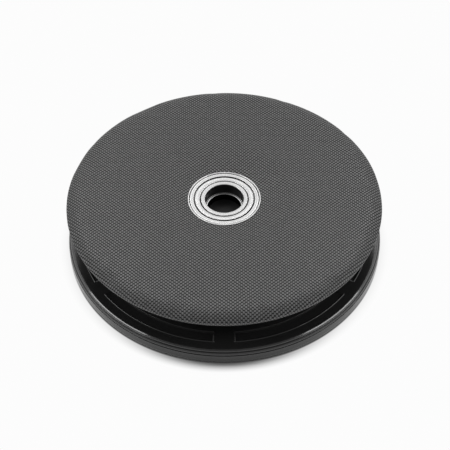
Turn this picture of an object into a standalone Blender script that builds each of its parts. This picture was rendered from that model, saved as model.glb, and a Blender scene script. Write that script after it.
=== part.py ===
# Swivel seat cushion: a round padded seat that turns on a flat base.
# A shielded ball bearing in the middle guides it and a wide ring of balls carries the weight.
# Metres, +Z up. The origin is on the turning axis, at the floor.

from math import acos, asin, cos, pi, radians, sin, sqrt

import bmesh
import bpy
from mathutils import Matrix, Vector

# Clearances
CLEAR = 0.0003  # between pieces that seat on each other
RACE_GAP = 0.0004  # between a ball and its track

# Seat pad
PAD_RADIUS = 0.203  # at its widest line
PAD_THICK = 0.0195
SHOULDER_WIDTH = 0.020  # rounded top edge, measured inwards
SHOULDER_DROP = 0.0072  # from the crown down to the widest line
TUCK_WIDTH = 0.0188  # rounded lower edge, measured inwards
DISH_DEPTH = 0.0044  # the pad dips this far round the bearing
DISH_WIDTH = 0.048
FABRIC = 0.0012
HEM_WIDTH = 0.019  # cloth turned in under the board
FOAM_WRAP = 0.012  # foam outside the board's edge

# Seat board
BOARD_THICK = 0.004
BOARD_BOSS_THICK = 0.007  # thicker where the housing screws go in
HUB_DROP = 0.0109  # hub's depth under the board
HUB_WIDTH = 0.026
RIB_COUNT = 12
RIB_THICK = 0.003
RIB_DEPTH = 0.007
SPOKE_DEPTH = 0.006
HEM_RING_THICK = 0.002
HEM_RING_WIDTH = 0.0254

# Deep-groove ball bearing: these sizes make the standard one of 50 mm bore, 90 mm outside, 20 mm wide
BEARING_BORE_RADIUS = 0.025
BALL_RADIUS = 0.00635
BALL_COUNT = 10
RACE_WALL = 0.00325  # steel left behind each track
SHIELD_ROOM = 0.00205  # from the ball's track to the back of each shield
INNER_LAND_DEPTH = 0.0021  # how far the inner race's land reaches in over the balls
OUTER_LAND_DEPTH = 0.0030
RACE_CHAMFER = 0.0008
SLEEVE_LENGTH = 0.008  # inner race carried on below the bearing for its grub screws
SHIELD_THICK = 0.0008
SHIELD_SINK = 0.0004  # shield's face below the races' faces
SHIELD_RUNNING_GAP = 0.0014
SHIELD_BEND = 0.0009  # the shield bends down this far inside the outer race's land
CAGE_WALL = 0.0008
CAGE_WIDTH = 0.0032
CAGE_FLAT = 0.0024  # cage's height between two pockets
GRUB_RADIUS = 0.0022
GRUB_CHAMFER = 0.0007
GRUB_COUNT = 2
GRUB_SPACING = radians(120)

# Bearing housing
HOUSING_WALL = 0.0019
HOUSING_LIP = 0.0006  # bright rim standing above the bearing's face
HOUSING_HUB_GAP = 0.003  # from the flange to the board's hub
HOUSING_FLANGE_THICK = 0.004
HOUSING_SEAT_THICK = 0.003
HOUSING_SEAT_WIDTH = 0.004
HOUSING_SCREW_COUNT = 4
HOUSING_SCREW_RADIUS = 0.0022

# Turntable ball ring
TURN_BALL_RADIUS = 0.005
TURN_BALL_COUNT = 10
TURN_CIRCLE_RADIUS = 0.082
TURN_RACE_WIDTH = 0.016
TURN_RACE_FLOOR = 0.0018  # steel left under the track
TURN_RACE_SPLIT = 0.0024  # open gap between the two races
TURN_CAGE_THICK = 0.0012

# Spindle
STEP_DEPTH = 0.0153  # spindle's top edge below the bearing's face
SPINDLE_WALL = 0.0024
SPINDLE_CHAMFER = 0.0009
SPINDLE_LEDGE = 0.0023  # step in the bore that the plug stands on
SPINDLE_FLANGE_RADIUS = 0.046
SPINDLE_FLANGE_THICK = 0.005
COLLAR_RADIUS = 0.0295
PLUG_DEPTH = 0.025  # floor of the recess below the bearing's face
PLUG_THICK = 0.0025
PLUG_SKIRT = 0.008  # height of the plug's side wall
PLUG_WALL = 0.0015

# Base
BASE_RADIUS = 0.2055
BASE_HEIGHT = 0.023
SHELL_WALL = 0.0025
SEAM_HEIGHT = 0.0151
EDGE_RADIUS = 0.0022
RIM_GROOVE = 0.0008
TOWER_RISE = 0.0155
TOWER_SHOULDER = 0.008  # flat left outside the ball ring
TOWER_FLARE = 0.010
TOWER_PLATE = 0.004
LOCATING_STEP = 0.002
POCKET_INSET = 0.0161  # from the base's edge to the pockets
POCKET_WIDTH = 0.0149
POCKET_DEPTH = 0.002
POCKET_LAND = 0.022  # deck left between two pockets
FRONT_LAND_ANGLE = radians(56.5)  # from the front land to the next on each side
PAN_RECESS = 0.0025  # underside raised inside the rim
PAN_RIM_WIDTH = 0.044
PAN_CORNER = 0.004
PAN_HUB_WIDTH = 0.018
PAN_RIB_COUNT = 8
PAN_RIB_THICK = 0.002

# Base fasteners and feet
BOLT_COUNT = 4
BOLT_CIRCLE_RADIUS = 0.038
BOLT_RADIUS = 0.0028
BOLT_HEAD_RADIUS = 0.005
BOLT_HEAD_HEIGHT = 0.005
BOLT_WELL = 0.0066
PAN_SCREW_COUNT = 6
PAN_SCREW_INSET = 0.0555  # from the base's edge
PAN_SCREW_RADIUS = 0.0018
SCREW_HEAD_RADIUS = 0.004
SCREW_HEAD_HEIGHT = 0.0024
BOSS_WALL = 0.0028
BOSS_LENGTH = 0.008
FOOT_COUNT = 6
FOOT_INSET = 0.0245  # from the base's edge
FOOT_RADIUS = 0.010
FOOT_STAND = 0.0015  # rubber standing out below the base
FOOT_SEAT = 0.0012  # rubber sunk into the base

# Facets round each turned piece, and points along each curve of an outline
LARGE_SIDES = 36
SMALL_SIDES = 24
FASTENER_SIDES = 8
PAD_POINTS = 4
TRACK_POINTS = 5
POCKET_POINTS = 7
CAGE_STEPS = 5

# Bearing sizes that follow
TRACK_RADIUS = BALL_RADIUS + RACE_GAP
BALL_CIRCLE_RADIUS = BEARING_BORE_RADIUS + RACE_WALL + TRACK_RADIUS
BEARING_OUTER_RADIUS = BALL_CIRCLE_RADIUS + TRACK_RADIUS + RACE_WALL
BEARING_WIDTH = 2 * (TRACK_RADIUS + SHIELD_ROOM + SHIELD_THICK + SHIELD_SINK)
INNER_LAND = BALL_CIRCLE_RADIUS - TRACK_RADIUS + INNER_LAND_DEPTH
OUTER_LAND = BALL_CIRCLE_RADIUS + TRACK_RADIUS - OUTER_LAND_DEPTH

# Heights that follow from the sizes, from the floor up
DECK = BASE_HEIGHT
PAN_BOTTOM = FOOT_STAND
PAN_FLOOR = PAN_BOTTOM + PAN_RECESS
RACE_SEAT = DECK + TOWER_RISE
TOWER_TOP = RACE_SEAT + LOCATING_STEP
PLATE_BOTTOM = TOWER_TOP - TOWER_PLATE - LOCATING_STEP
LOWER_RACE_BOTTOM = RACE_SEAT + CLEAR
TURN_BALL_HEIGHT = LOWER_RACE_BOTTOM + TURN_RACE_FLOOR + RACE_GAP + TURN_BALL_RADIUS
LOWER_RACE_TOP = TURN_BALL_HEIGHT - TURN_RACE_SPLIT / 2
UPPER_RACE_BOTTOM = TURN_BALL_HEIGHT + TURN_RACE_SPLIT / 2
UPPER_RACE_TOP = 2 * TURN_BALL_HEIGHT - LOWER_RACE_BOTTOM
HUB_BOTTOM = UPPER_RACE_TOP + CLEAR
BOARD_BOTTOM = HUB_BOTTOM + HUB_DROP
BOARD_TOP = BOARD_BOTTOM + BOARD_THICK
BOSS_TOP = BOARD_BOTTOM + BOARD_BOSS_THICK
PAD_BOTTOM = BOARD_BOTTOM - CLEAR - FABRIC
CROWN = PAD_BOTTOM + PAD_THICK
WIDEST = CROWN - SHOULDER_DROP
FACE = CROWN - DISH_DEPTH
BEARING_BOTTOM = FACE - BEARING_WIDTH
BEARING_MIDDLE = FACE - BEARING_WIDTH / 2
SLEEVE_BOTTOM = BEARING_BOTTOM - SLEEVE_LENGTH
SPINDLE_TOP = FACE - STEP_DEPTH
SPINDLE_FLANGE_BOTTOM = TOWER_TOP + CLEAR
PLUG_TOP = FACE - PLUG_DEPTH

# Radii that follow from the sizes
HOUSING_BORE = BEARING_OUTER_RADIUS + CLEAR
HOUSING_RADIUS = HOUSING_BORE + HOUSING_WALL
HUB_INNER = TURN_CIRCLE_RADIUS - HUB_WIDTH / 2
HUB_OUTER = TURN_CIRCLE_RADIUS + HUB_WIDTH / 2
HOUSING_FLANGE_RADIUS = HUB_INNER - HOUSING_HUB_GAP
HOUSING_SCREW_CIRCLE = HOUSING_RADIUS + HOUSING_SEAT_THICK + CLEAR + SCREW_HEAD_RADIUS
BOARD_HOLE = HOUSING_RADIUS + CLEAR
BOARD_RADIUS = PAD_RADIUS - FOAM_WRAP
HEM_RING_RADIUS = PAD_RADIUS - TUCK_WIDTH - HEM_WIDTH / 2
RIB_RING_RADIUS = HEM_RING_RADIUS - HEM_RING_WIDTH - CLEAR
TURN_RACE_INNER = TURN_CIRCLE_RADIUS - TURN_RACE_WIDTH / 2
TURN_RACE_OUTER = TURN_CIRCLE_RADIUS + TURN_RACE_WIDTH / 2
LOCATING_RADIUS = TURN_RACE_INNER - CLEAR
SPIGOT_RADIUS = BEARING_BORE_RADIUS - CLEAR
SPINDLE_BORE = SPIGOT_RADIUS - SPINDLE_WALL
SPINDLE_LOWER_BORE = SPINDLE_BORE - SPINDLE_LEDGE
PILOT_RADIUS = COLLAR_RADIUS - CLEAR
PLATE_HOLE = PILOT_RADIUS + CLEAR
PAN_HUB_INNER = BOLT_CIRCLE_RADIUS - PAN_HUB_WIDTH / 2
PAN_HUB_OUTER = BOLT_CIRCLE_RADIUS + PAN_HUB_WIDTH / 2
SKIRT_RADIUS = BASE_RADIUS - RIM_GROOVE
SKIRT_INNER = SKIRT_RADIUS - SHELL_WALL
TOWER_RADIUS = TURN_RACE_OUTER + TOWER_SHOULDER
POCKET_OUTER_RADIUS = BASE_RADIUS - POCKET_INSET
POCKET_INNER_RADIUS = POCKET_OUTER_RADIUS - POCKET_WIDTH
PAN_SCREW_CIRCLE_RADIUS = BASE_RADIUS - PAN_SCREW_INSET
FOOT_CIRCLE_RADIUS = BASE_RADIUS - FOOT_INSET


# Building helpers


def clear_scene():
    for obj in list(bpy.data.objects):
        bpy.data.objects.remove(obj, do_unlink=True)


def material(name, colour, roughness, metallic=0.0):
    made = bpy.data.materials.new(name)
    made.use_nodes = True
    shader = made.node_tree.nodes["Principled BSDF"]
    shader.inputs["Base Color"].default_value = (*colour, 1.0)
    shader.inputs["Roughness"].default_value = roughness
    shader.inputs["Metallic"].default_value = metallic
    return made


def axis_empty(name, height):
    """An empty on the turning axis, which carries the pieces of one body."""
    empty = bpy.data.objects.new(name, None)
    empty.location = (0, 0, height)
    bpy.context.scene.collection.objects.link(empty)
    return empty


def mesh_of(name, bm, finish=None, sharp_angle=radians(35)):
    mesh = bpy.data.meshes.new(name)
    bm.to_mesh(mesh)
    bm.free()
    mesh.shade_smooth()
    mesh.set_sharp_from_angle(angle=sharp_angle)
    if finish:
        mesh.materials.append(finish)
    return mesh


def piece(name, mesh, carrier, position=(0, 0, 0), turn=(0, 0, 0)):
    """A named piece at a place in the object's frame, carried by one body's empty."""
    obj = bpy.data.objects.new(name, mesh)
    bpy.context.scene.collection.objects.link(obj)
    obj.parent = carrier
    obj.location = Vector(position) - carrier.location
    obj.rotation_euler = turn
    return obj


def tool(name, bm):
    """A shape that is only there to be cut from a piece or joined to it."""
    obj = bpy.data.objects.new(name, mesh_of(name, tidy(bm)))
    bpy.context.scene.collection.objects.link(obj)
    obj.hide_render = True
    obj.display_type = "WIRE"
    return obj


def combine(obj, other, operation):
    step = obj.modifiers.new(other.name, "BOOLEAN")
    step.operation = operation
    step.object = other
    step.solver = "EXACT"


def cut(obj, name, bm):
    combine(obj, tool(name, bm), "DIFFERENCE")


def join(obj, name, bm):
    combine(obj, tool(name, bm), "UNION")


def add_turned(bm, outline, sides, x=0.0, y=0.0):
    """Adds a closed outline of (radius, height) points swept once round a vertical line at (x, y)."""
    points = [bm.verts.new((x + radius, y, height)) for radius, height in outline]
    edges = []
    for i, (radius, _) in enumerate(outline):
        if radius > 0 or outline[i - 1][0] > 0:
            edges.append(bm.edges.new((points[i - 1], points[i])))
    bmesh.ops.spin(
        bm,
        geom=points + edges,
        cent=(x, y, 0),
        axis=(0, 0, 1),
        angle=2 * pi,
        steps=sides,
        use_merge=True,
    )


def tidy(bm):
    """Welds what lies on the axis and turns the faces outwards."""
    bmesh.ops.remove_doubles(bm, verts=bm.verts, dist=1e-6)
    bmesh.ops.recalc_face_normals(bm, faces=bm.faces)
    return bm


def turned(outline, sides):
    bm = bmesh.new()
    add_turned(bm, outline, sides)
    return tidy(bm)


def add_cylinder(bm, radius, bottom, top, x=0.0, y=0.0, sides=FASTENER_SIDES):
    add_turned(bm, [(0, top), (radius, top), (radius, bottom), (0, bottom)], sides, x, y)


def add_stepped_hole(bm, shank, well, bottom, seat, top, x, y):
    """A screw's hole with a wider well at its lower end for the head."""
    outline = [(0, top), (shank, top), (shank, seat), (well, seat), (well, bottom), (0, bottom)]
    add_turned(bm, outline, FASTENER_SIDES, x, y)


def add_spoke(bm, inner, outer, thick, bottom, top, angle):
    """A straight bar lying along a radius."""
    size = Matrix.Diagonal((outer - inner, thick, top - bottom, 1))
    place = Matrix.Translation(((inner + outer) / 2, 0, (bottom + top) / 2))
    bmesh.ops.create_cube(bm, size=1, matrix=Matrix.Rotation(angle, 4, "Z") @ place @ size)


def arc(radius_at, height_at, reach, rise, start, end, count):
    """Points on an ellipse about (radius_at, height_at), from one angle to another in degrees."""
    angles = [radians(start + (end - start) * i / (count - 1)) for i in range(count)]
    return [(radius_at + reach * cos(a), height_at + rise * sin(a)) for a in angles]


def around(count, radius, first=0.0):
    """(angle, x, y) of places spaced evenly on a circle, counted from the front (-Y)."""
    for i in range(count):
        angle = first + 2 * pi * i / count - pi / 2
        yield angle, radius * cos(angle), radius * sin(angle)


# Seat pad


def pad_skin(inset):
    """The pad's outer line from the bearing's rim to the hem, moved inwards by an inset."""
    hole = HOUSING_RADIUS + CLEAR + inset
    dish_end = HOUSING_RADIUS + DISH_WIDTH
    shoulder = PAD_RADIUS - SHOULDER_WIDTH
    tuck = PAD_RADIUS - TUCK_WIDTH
    points = []
    for i in range(PAD_POINTS):
        share = i / (PAD_POINTS - 1)
        rise = DISH_DEPTH * (1 - cos(pi * share)) / 2
        points.append((hole + (dish_end - hole) * share, FACE + rise - inset))
    points += arc(shoulder, WIDEST, SHOULDER_WIDTH - inset, SHOULDER_DROP - inset, 90, 0, PAD_POINTS)
    rise = PAD_THICK - SHOULDER_DROP - inset
    points += arc(tuck, WIDEST, TUCK_WIDTH - inset, rise, 0, -90, PAD_POINTS)[1:]
    return points


def cover_outline():
    """The cloth shell: a sleeve down the housing, over the crown, round the edge and under the board."""
    outside = pad_skin(0)
    inside = pad_skin(FABRIC)
    sleeve_end = BOSS_TOP + CLEAR
    hem_end = PAD_RADIUS - TUCK_WIDTH - HEM_WIDTH
    outline = [(outside[0][0], sleeve_end)] + outside + [(hem_end, PAD_BOTTOM)]
    outline += [(hem_end, PAD_BOTTOM + FABRIC)] + inside[::-1]
    return outline + [(inside[0][0], sleeve_end)]


def make_seat_cover(body, finish):
    mesh = mesh_of("seat_cover", turned(cover_outline(), LARGE_SIDES), finish, radians(60))
    piece("seat_cover", mesh, body)


def make_foam_pad(body, finish):
    """Foam under the cloth: down to the board's top and a little way round its edge."""
    skin = pad_skin(FABRIC + CLEAR)
    lip = BOARD_TOP - BOARD_THICK / 2
    outline = [point for point in skin if point[1] > lip]
    step = HOUSING_FLANGE_RADIUS + 2 * CLEAR
    wrap = BOARD_RADIUS + CLEAR
    outline += [(wrap, outline[-1][1]), (wrap, BOARD_TOP + CLEAR), (step, BOARD_TOP + CLEAR)]
    outline += [(step, BOSS_TOP + CLEAR), (skin[0][0], BOSS_TOP + CLEAR)]
    piece("foam_pad", mesh_of("foam_pad", turned(outline, LARGE_SIDES), finish), body)


# Seat board and what fastens to it


def housing_screw_places():
    return around(HOUSING_SCREW_COUNT, HOUSING_SCREW_CIRCLE, pi / HOUSING_SCREW_COUNT)


def make_seat_board(body, finish):
    """Moulded disc: a screw boss in the middle, the turntable hub and ribs underneath."""
    edge = PAD_RADIUS - TUCK_WIDTH
    outline = [
        (BOARD_HOLE, BOSS_TOP),
        (HOUSING_FLANGE_RADIUS, BOSS_TOP),
        (HOUSING_FLANGE_RADIUS, BOARD_TOP),
        (BOARD_RADIUS, BOARD_TOP),
        (BOARD_RADIUS, BOARD_BOTTOM + BOARD_THICK / 2),
        (edge, BOARD_BOTTOM),
        (HUB_OUTER, BOARD_BOTTOM),
        (HUB_OUTER, HUB_BOTTOM),
        (LOCATING_RADIUS, HUB_BOTTOM),
        (LOCATING_RADIUS, HUB_BOTTOM - LOCATING_STEP),
        (HUB_INNER, HUB_BOTTOM - LOCATING_STEP),
        (HUB_INNER, BOARD_BOTTOM),
        (BOARD_HOLE, BOARD_BOTTOM),
    ]
    mesh = mesh_of("seat_board", turned(outline, LARGE_SIDES), finish)
    board = piece("seat_board", mesh, body)
    root = BOARD_BOTTOM + BOARD_THICK / 4
    ribs = turned(
        [
            (RIB_RING_RADIUS - RIB_THICK, root),
            (RIB_RING_RADIUS, root),
            (RIB_RING_RADIUS, BOARD_BOTTOM - RIB_DEPTH),
            (RIB_RING_RADIUS - RIB_THICK, BOARD_BOTTOM - RIB_DEPTH),
        ],
        LARGE_SIDES,
    )
    join(board, "rib_ring", ribs)
    spokes = bmesh.new()
    outer = RIB_RING_RADIUS - RIB_THICK / 2
    start, bottom, top = HUB_OUTER - RIB_THICK, BOARD_BOTTOM - SPOKE_DEPTH, BOARD_BOTTOM + BOARD_THICK / 2
    for angle, _, _ in around(RIB_COUNT, outer, pi / RIB_COUNT):
        add_spoke(spokes, start, outer, RIB_THICK, bottom, top, angle)
    join(board, "board_ribs", spokes)
    holes = bmesh.new()
    bottom, top = BOARD_BOTTOM - CLEAR, BOSS_TOP - BOARD_THICK / 4
    for _, x, y in housing_screw_places():
        add_cylinder(holes, HOUSING_SCREW_RADIUS + CLEAR, bottom, top, x, y)
    cut(board, "board_pilot_holes", holes)


def make_hem_ring(body, finish):
    """Stepped ring that snaps to the board outside the ribs and holds the cloth's hem up."""
    inner = HEM_RING_RADIUS - HEM_RING_WIDTH
    step = PAD_RADIUS - TUCK_WIDTH - HEM_WIDTH - CLEAR
    top = PAD_BOTTOM - CLEAR
    outline = [
        (inner, BOARD_BOTTOM - CLEAR),
        (step, BOARD_BOTTOM - CLEAR),
        (step, top),
        (HEM_RING_RADIUS, top),
        (HEM_RING_RADIUS, top - HEM_RING_THICK),
        (inner, top - HEM_RING_THICK),
    ]
    piece("hem_ring", mesh_of("hem_ring", turned(outline, LARGE_SIDES), finish), body)


def make_bearing_housing(body, finish):
    """Flanged cup: its bright rim shows round the bearing and its flange bolts up to the board."""
    flange_top = BOARD_BOTTOM - CLEAR
    flange_bottom = flange_top - HOUSING_FLANGE_THICK
    seat_top = BEARING_BOTTOM - CLEAR
    seat_bottom = seat_top - HOUSING_SEAT_THICK
    rim = FACE + HOUSING_LIP
    outline = [
        (HOUSING_BORE, rim - HOUSING_LIP / 2),
        (HOUSING_BORE + HOUSING_LIP / 2, rim),
        (HOUSING_RADIUS - HOUSING_LIP / 2, rim),
        (HOUSING_RADIUS, rim - HOUSING_LIP / 2),
        (HOUSING_RADIUS, flange_top),
        (HOUSING_FLANGE_RADIUS, flange_top),
        (HOUSING_FLANGE_RADIUS, flange_bottom),
        (HOUSING_RADIUS + HOUSING_SEAT_THICK, flange_bottom),
        (HOUSING_RADIUS, seat_bottom),
        (BEARING_OUTER_RADIUS - HOUSING_SEAT_WIDTH, seat_bottom),
        (BEARING_OUTER_RADIUS - HOUSING_SEAT_WIDTH, seat_top),
        (HOUSING_BORE, seat_top),
    ]
    mesh = mesh_of("bearing_housing", turned(outline, SMALL_SIDES), finish)
    housing = piece("bearing_housing", mesh, body)
    holes = bmesh.new()
    for _, x, y in housing_screw_places():
        radius = HOUSING_SCREW_RADIUS + CLEAR
        add_cylinder(holes, radius, flange_bottom - CLEAR, flange_top + CLEAR, x, y)
    cut(housing, "flange_holes", holes)


# Fasteners


def screw_mesh(name, finish, shank_radius, length, head_radius, head_height):
    """A screw standing head down on the origin, with its shank pointing up."""
    outline = [
        (0, head_height + length),
        (shank_radius, head_height + length),
        (shank_radius, head_height),
        (head_radius, head_height),
        (head_radius - head_height / 4, 0),
        (0, 0),
    ]
    return mesh_of(name, turned(outline, FASTENER_SIDES), finish)


def make_housing_screws(body, finish):
    flange_bottom = BOARD_BOTTOM - CLEAR - HOUSING_FLANGE_THICK
    length = HOUSING_FLANGE_THICK + BOARD_BOSS_THICK - BOARD_THICK / 4 - CLEAR
    head = SCREW_HEAD_RADIUS, SCREW_HEAD_HEIGHT
    mesh = screw_mesh("housing_screw", finish, HOUSING_SCREW_RADIUS, length, *head)
    height = flange_bottom - CLEAR - SCREW_HEAD_HEIGHT
    for i, (_, x, y) in enumerate(housing_screw_places(), 1):
        piece(f"housing_screw_{i}", mesh, body, (x, y, height))


# Shielded ball bearing


def clear_of_flats(radius, sign):
    """An outer race's wall is set back, so that the flats between its corners still clear the balls."""
    return radius / cos(pi / SMALL_SIDES) if sign > 0 else radius


def track(sign, land):
    """The part of a ball track's round section that lies beyond a race's land, from top to bottom."""
    top = acos(abs(land - BALL_CIRCLE_RADIUS) / TRACK_RADIUS)
    points = [(land, BEARING_MIDDLE + TRACK_RADIUS * sin(top))]
    for i in range(1, TRACK_POINTS - 1):
        angle = top - 2 * top * i / (TRACK_POINTS - 1)
        radius = BALL_CIRCLE_RADIUS + sign * TRACK_RADIUS * cos(angle)
        points.append((clear_of_flats(radius, sign), BEARING_MIDDLE + TRACK_RADIUS * sin(angle)))
    return points + [(land, BEARING_MIDDLE - TRACK_RADIUS * sin(top))]


def make_outer_race(body, finish):
    """Outer race: ball track inside, and a step at each face that a shield is pressed into."""
    step = OUTER_LAND + SHIELD_THICK
    deep = SHIELD_SINK + SHIELD_THICK + 2 * CLEAR
    outside = BEARING_OUTER_RADIUS
    outline = [
        (step, FACE),
        (outside - RACE_CHAMFER, FACE),
        (outside, FACE - RACE_CHAMFER),
        (outside, BEARING_BOTTOM + RACE_CHAMFER),
        (outside - RACE_CHAMFER, BEARING_BOTTOM),
        (step, BEARING_BOTTOM),
        (step, BEARING_BOTTOM + deep),
        (OUTER_LAND, BEARING_BOTTOM + deep),
    ]
    outline += track(1, OUTER_LAND)[::-1]
    outline += [(OUTER_LAND, FACE - deep), (step, FACE - deep)]
    piece("outer_race", mesh_of("outer_race", turned(outline, SMALL_SIDES), finish), body)


def make_inner_race(body, finish):
    """Inner race with a long lower sleeve, drilled for the grub screws that lock it to the spindle."""
    bore = BEARING_BORE_RADIUS
    outline = [
        (bore, FACE - RACE_CHAMFER / 2),
        (bore + RACE_CHAMFER / 2, FACE),
        (INNER_LAND - RACE_CHAMFER, FACE),
        (INNER_LAND, FACE - RACE_CHAMFER),
    ]
    outline += track(-1, INNER_LAND)
    outline += [
        (INNER_LAND, SLEEVE_BOTTOM + RACE_CHAMFER),
        (INNER_LAND - RACE_CHAMFER, SLEEVE_BOTTOM),
        (bore, SLEEVE_BOTTOM),
    ]
    race = piece("inner_race", mesh_of("inner_race", turned(outline, SMALL_SIDES), finish), body)
    holes = bmesh.new()
    for angle, _ in grub_places():
        place = Matrix.Rotation(angle, 4, "Z") @ Matrix.Translation((INNER_LAND, 0, grub_height()))
        reach = 2 * (INNER_LAND - BEARING_BORE_RADIUS) + RACE_CHAMFER
        bmesh.ops.create_cone(
            holes,
            cap_ends=True,
            segments=FASTENER_SIDES,
            radius1=GRUB_RADIUS + CLEAR,
            radius2=GRUB_RADIUS + CLEAR,
            depth=reach,
            matrix=place @ Matrix.Rotation(pi / 2, 4, "Y"),
        )
    cut(race, "grub_holes", holes)


def grub_height():
    return SLEEVE_BOTTOM + SLEEVE_LENGTH / 2


def grub_places():
    """Angle and number of each grub screw, spaced evenly to both sides of the front."""
    first = -GRUB_SPACING * (GRUB_COUNT - 1) / 2 - pi / 2
    return [(first + GRUB_SPACING * i, i + 1) for i in range(GRUB_COUNT)]


def make_grub_screws(body, finish):
    length = INNER_LAND - BEARING_BORE_RADIUS - CLEAR
    outline = [
        (0, length),
        (GRUB_RADIUS - GRUB_CHAMFER, length),
        (GRUB_RADIUS, length - GRUB_CHAMFER),
        (GRUB_RADIUS, 0),
        (0, 0),
    ]
    mesh = mesh_of("grub_screw", turned(outline, FASTENER_SIDES), finish)
    for angle, number in grub_places():
        place = (BEARING_BORE_RADIUS * cos(angle), BEARING_BORE_RADIUS * sin(angle), grub_height())
        piece(f"grub_screw_{number}", mesh, body, place, (0, pi / 2, angle))


def shield_outline(face, down):
    """A pressed washer: its flat face near the races' faces, its outer edge set down into the step."""
    inner = INNER_LAND + SHIELD_RUNNING_GAP
    edge = OUTER_LAND + SHIELD_THICK - CLEAR
    bend = OUTER_LAND - SHIELD_BEND
    top = face + down * SHIELD_SINK
    seat = top + down * CLEAR
    drop = down * SHIELD_THICK
    return [
        (inner, top),
        (bend, top),
        (edge, seat),
        (edge, seat + drop),
        (bend, seat + drop),
        (inner, top + drop),
    ]


def make_shields(body, finish):
    for name, face, down in (("shield_upper", FACE, -1), ("shield_lower", BEARING_BOTTOM, 1)):
        bm = turned(shield_outline(face, down), SMALL_SIDES)
        piece(name, mesh_of(name, bm, finish), body)


def cage_samples():
    """Places round one ball's bay, as (distance along the pitch circle, pocket, outside) half heights."""
    bay = pi * BALL_CIRCLE_RADIUS / BALL_COUNT
    pocket = TRACK_RADIUS / cos(pi / (2 * CAGE_STEPS))
    outside = pocket + CAGE_WALL
    rows = []
    for i in range(CAGE_STEPS + 1):
        along = -pocket * cos(pi * i / CAGE_STEPS)
        rows.append((along, sqrt(max(0.0, pocket**2 - along**2)), sqrt(outside**2 - along**2)))
    rows[0] = (-pocket, 0.0, rows[0][2])
    rows[-1] = (pocket, 0.0, rows[-1][2])
    return [(-bay, 0.0, CAGE_FLAT / 2)] + rows + [(bay, 0.0, CAGE_FLAT / 2)]


def cage_columns(bm, radius):
    """Columns of four corners round the cage at one radius: outer edge, pocket edge, and both below."""
    columns = []
    for ball in range(BALL_COUNT):
        middle = 2 * pi * ball / BALL_COUNT - pi / 2
        for along, pocket, outside in cage_samples()[:-1]:
            angle = middle + along / BALL_CIRCLE_RADIUS
            x, y = radius * cos(angle), radius * sin(angle)
            top, bottom = (bm.verts.new((x, y, BEARING_MIDDLE + h)) for h in (outside, -outside))
            if pocket > 0:
                over, under = (bm.verts.new((x, y, BEARING_MIDDLE + h)) for h in (pocket, -pocket))
            else:
                over = under = bm.verts.new((x, y, BEARING_MIDDLE))
            columns.append((top, over, under, bottom))
    return columns


def make_bearing_cage(body, finish):
    """Ribbon cage: a strip that bows over and under each ball and is flat between them."""
    bm = bmesh.new()
    inner = cage_columns(bm, BALL_CIRCLE_RADIUS - CAGE_WIDTH / 2)
    outer = cage_columns(bm, BALL_CIRCLE_RADIUS + CAGE_WIDTH / 2)
    for i in range(len(inner)):
        a, b = inner[i - 1], inner[i]
        c, d = outer[i - 1], outer[i]
        open_between = a[1] is not a[2] or b[1] is not b[2]
        for upper, lower in ((0, 1), (2, 3)):
            bm.faces.new((a[upper], a[lower], b[lower], b[upper]))
            bm.faces.new((c[upper], d[upper], d[lower], c[lower]))
        for row in (0, 1, 2, 3) if open_between else (0, 3):
            bm.faces.new((a[row], b[row], d[row], c[row]))
    bmesh.ops.recalc_face_normals(bm, faces=bm.faces)
    piece("bearing_cage", mesh_of("bearing_cage", bm, finish), body)


def ball_mesh(name, radius, finish):
    bm = bmesh.new()
    bmesh.ops.create_uvsphere(bm, u_segments=FASTENER_SIDES, v_segments=5, radius=radius)
    return mesh_of(name, bm, finish, pi)


def make_bearing_balls(body, finish):
    mesh = ball_mesh("bearing_ball", BALL_RADIUS, finish)
    for i, (_, x, y) in enumerate(around(BALL_COUNT, BALL_CIRCLE_RADIUS), 1):
        piece(f"bearing_ball_{i}", mesh, body, (x, y, BEARING_MIDDLE))


# Turntable ball ring


def race_outline(seat, open_face, facing):
    """A flat steel ring with a round track in the face that looks at the balls."""
    groove = TURN_BALL_RADIUS + RACE_GAP
    low = asin(TURN_RACE_SPLIT / 2 / groove)
    outline = [(TURN_RACE_OUTER, seat), (TURN_RACE_OUTER, open_face)]
    for i in range(TRACK_POINTS + 1):
        angle = low + (pi - 2 * low) * i / TRACK_POINTS
        height = TURN_BALL_HEIGHT + facing * groove * sin(angle)
        outline.append((TURN_CIRCLE_RADIUS + groove * cos(angle), height))
    return outline + [(TURN_RACE_INNER, open_face), (TURN_RACE_INNER, seat)]


def make_turntable_races(seat_body, base_body, finish):
    upper = turned(race_outline(UPPER_RACE_TOP, UPPER_RACE_BOTTOM, 1), LARGE_SIDES)
    piece("upper_turntable_race", mesh_of("upper_turntable_race", upper, finish), seat_body)
    lower = turned(race_outline(LOWER_RACE_BOTTOM, LOWER_RACE_TOP, -1), LARGE_SIDES)
    piece("lower_turntable_race", mesh_of("lower_turntable_race", lower, finish), base_body)


def make_turntable_cage(body, finish):
    """Flat ring between the two races, with a round window for each ball."""
    half = TURN_CAGE_THICK / 2
    outline = [
        (TURN_RACE_INNER, TURN_BALL_HEIGHT + half),
        (TURN_RACE_OUTER, TURN_BALL_HEIGHT + half),
        (TURN_RACE_OUTER, TURN_BALL_HEIGHT - half),
        (TURN_RACE_INNER, TURN_BALL_HEIGHT - half),
    ]
    bm = turned(outline, LARGE_SIDES)
    cage = piece("turntable_cage", mesh_of("turntable_cage", bm, finish), body)
    windows = bmesh.new()
    window = (TURN_BALL_RADIUS + RACE_GAP) / cos(pi / FASTENER_SIDES)
    bottom, top = TURN_BALL_HEIGHT - TURN_CAGE_THICK, TURN_BALL_HEIGHT + TURN_CAGE_THICK
    for _, x, y in around(TURN_BALL_COUNT, TURN_CIRCLE_RADIUS):
        add_cylinder(windows, window, bottom, top, x, y)
    cut(cage, "ball_windows", windows)


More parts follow.
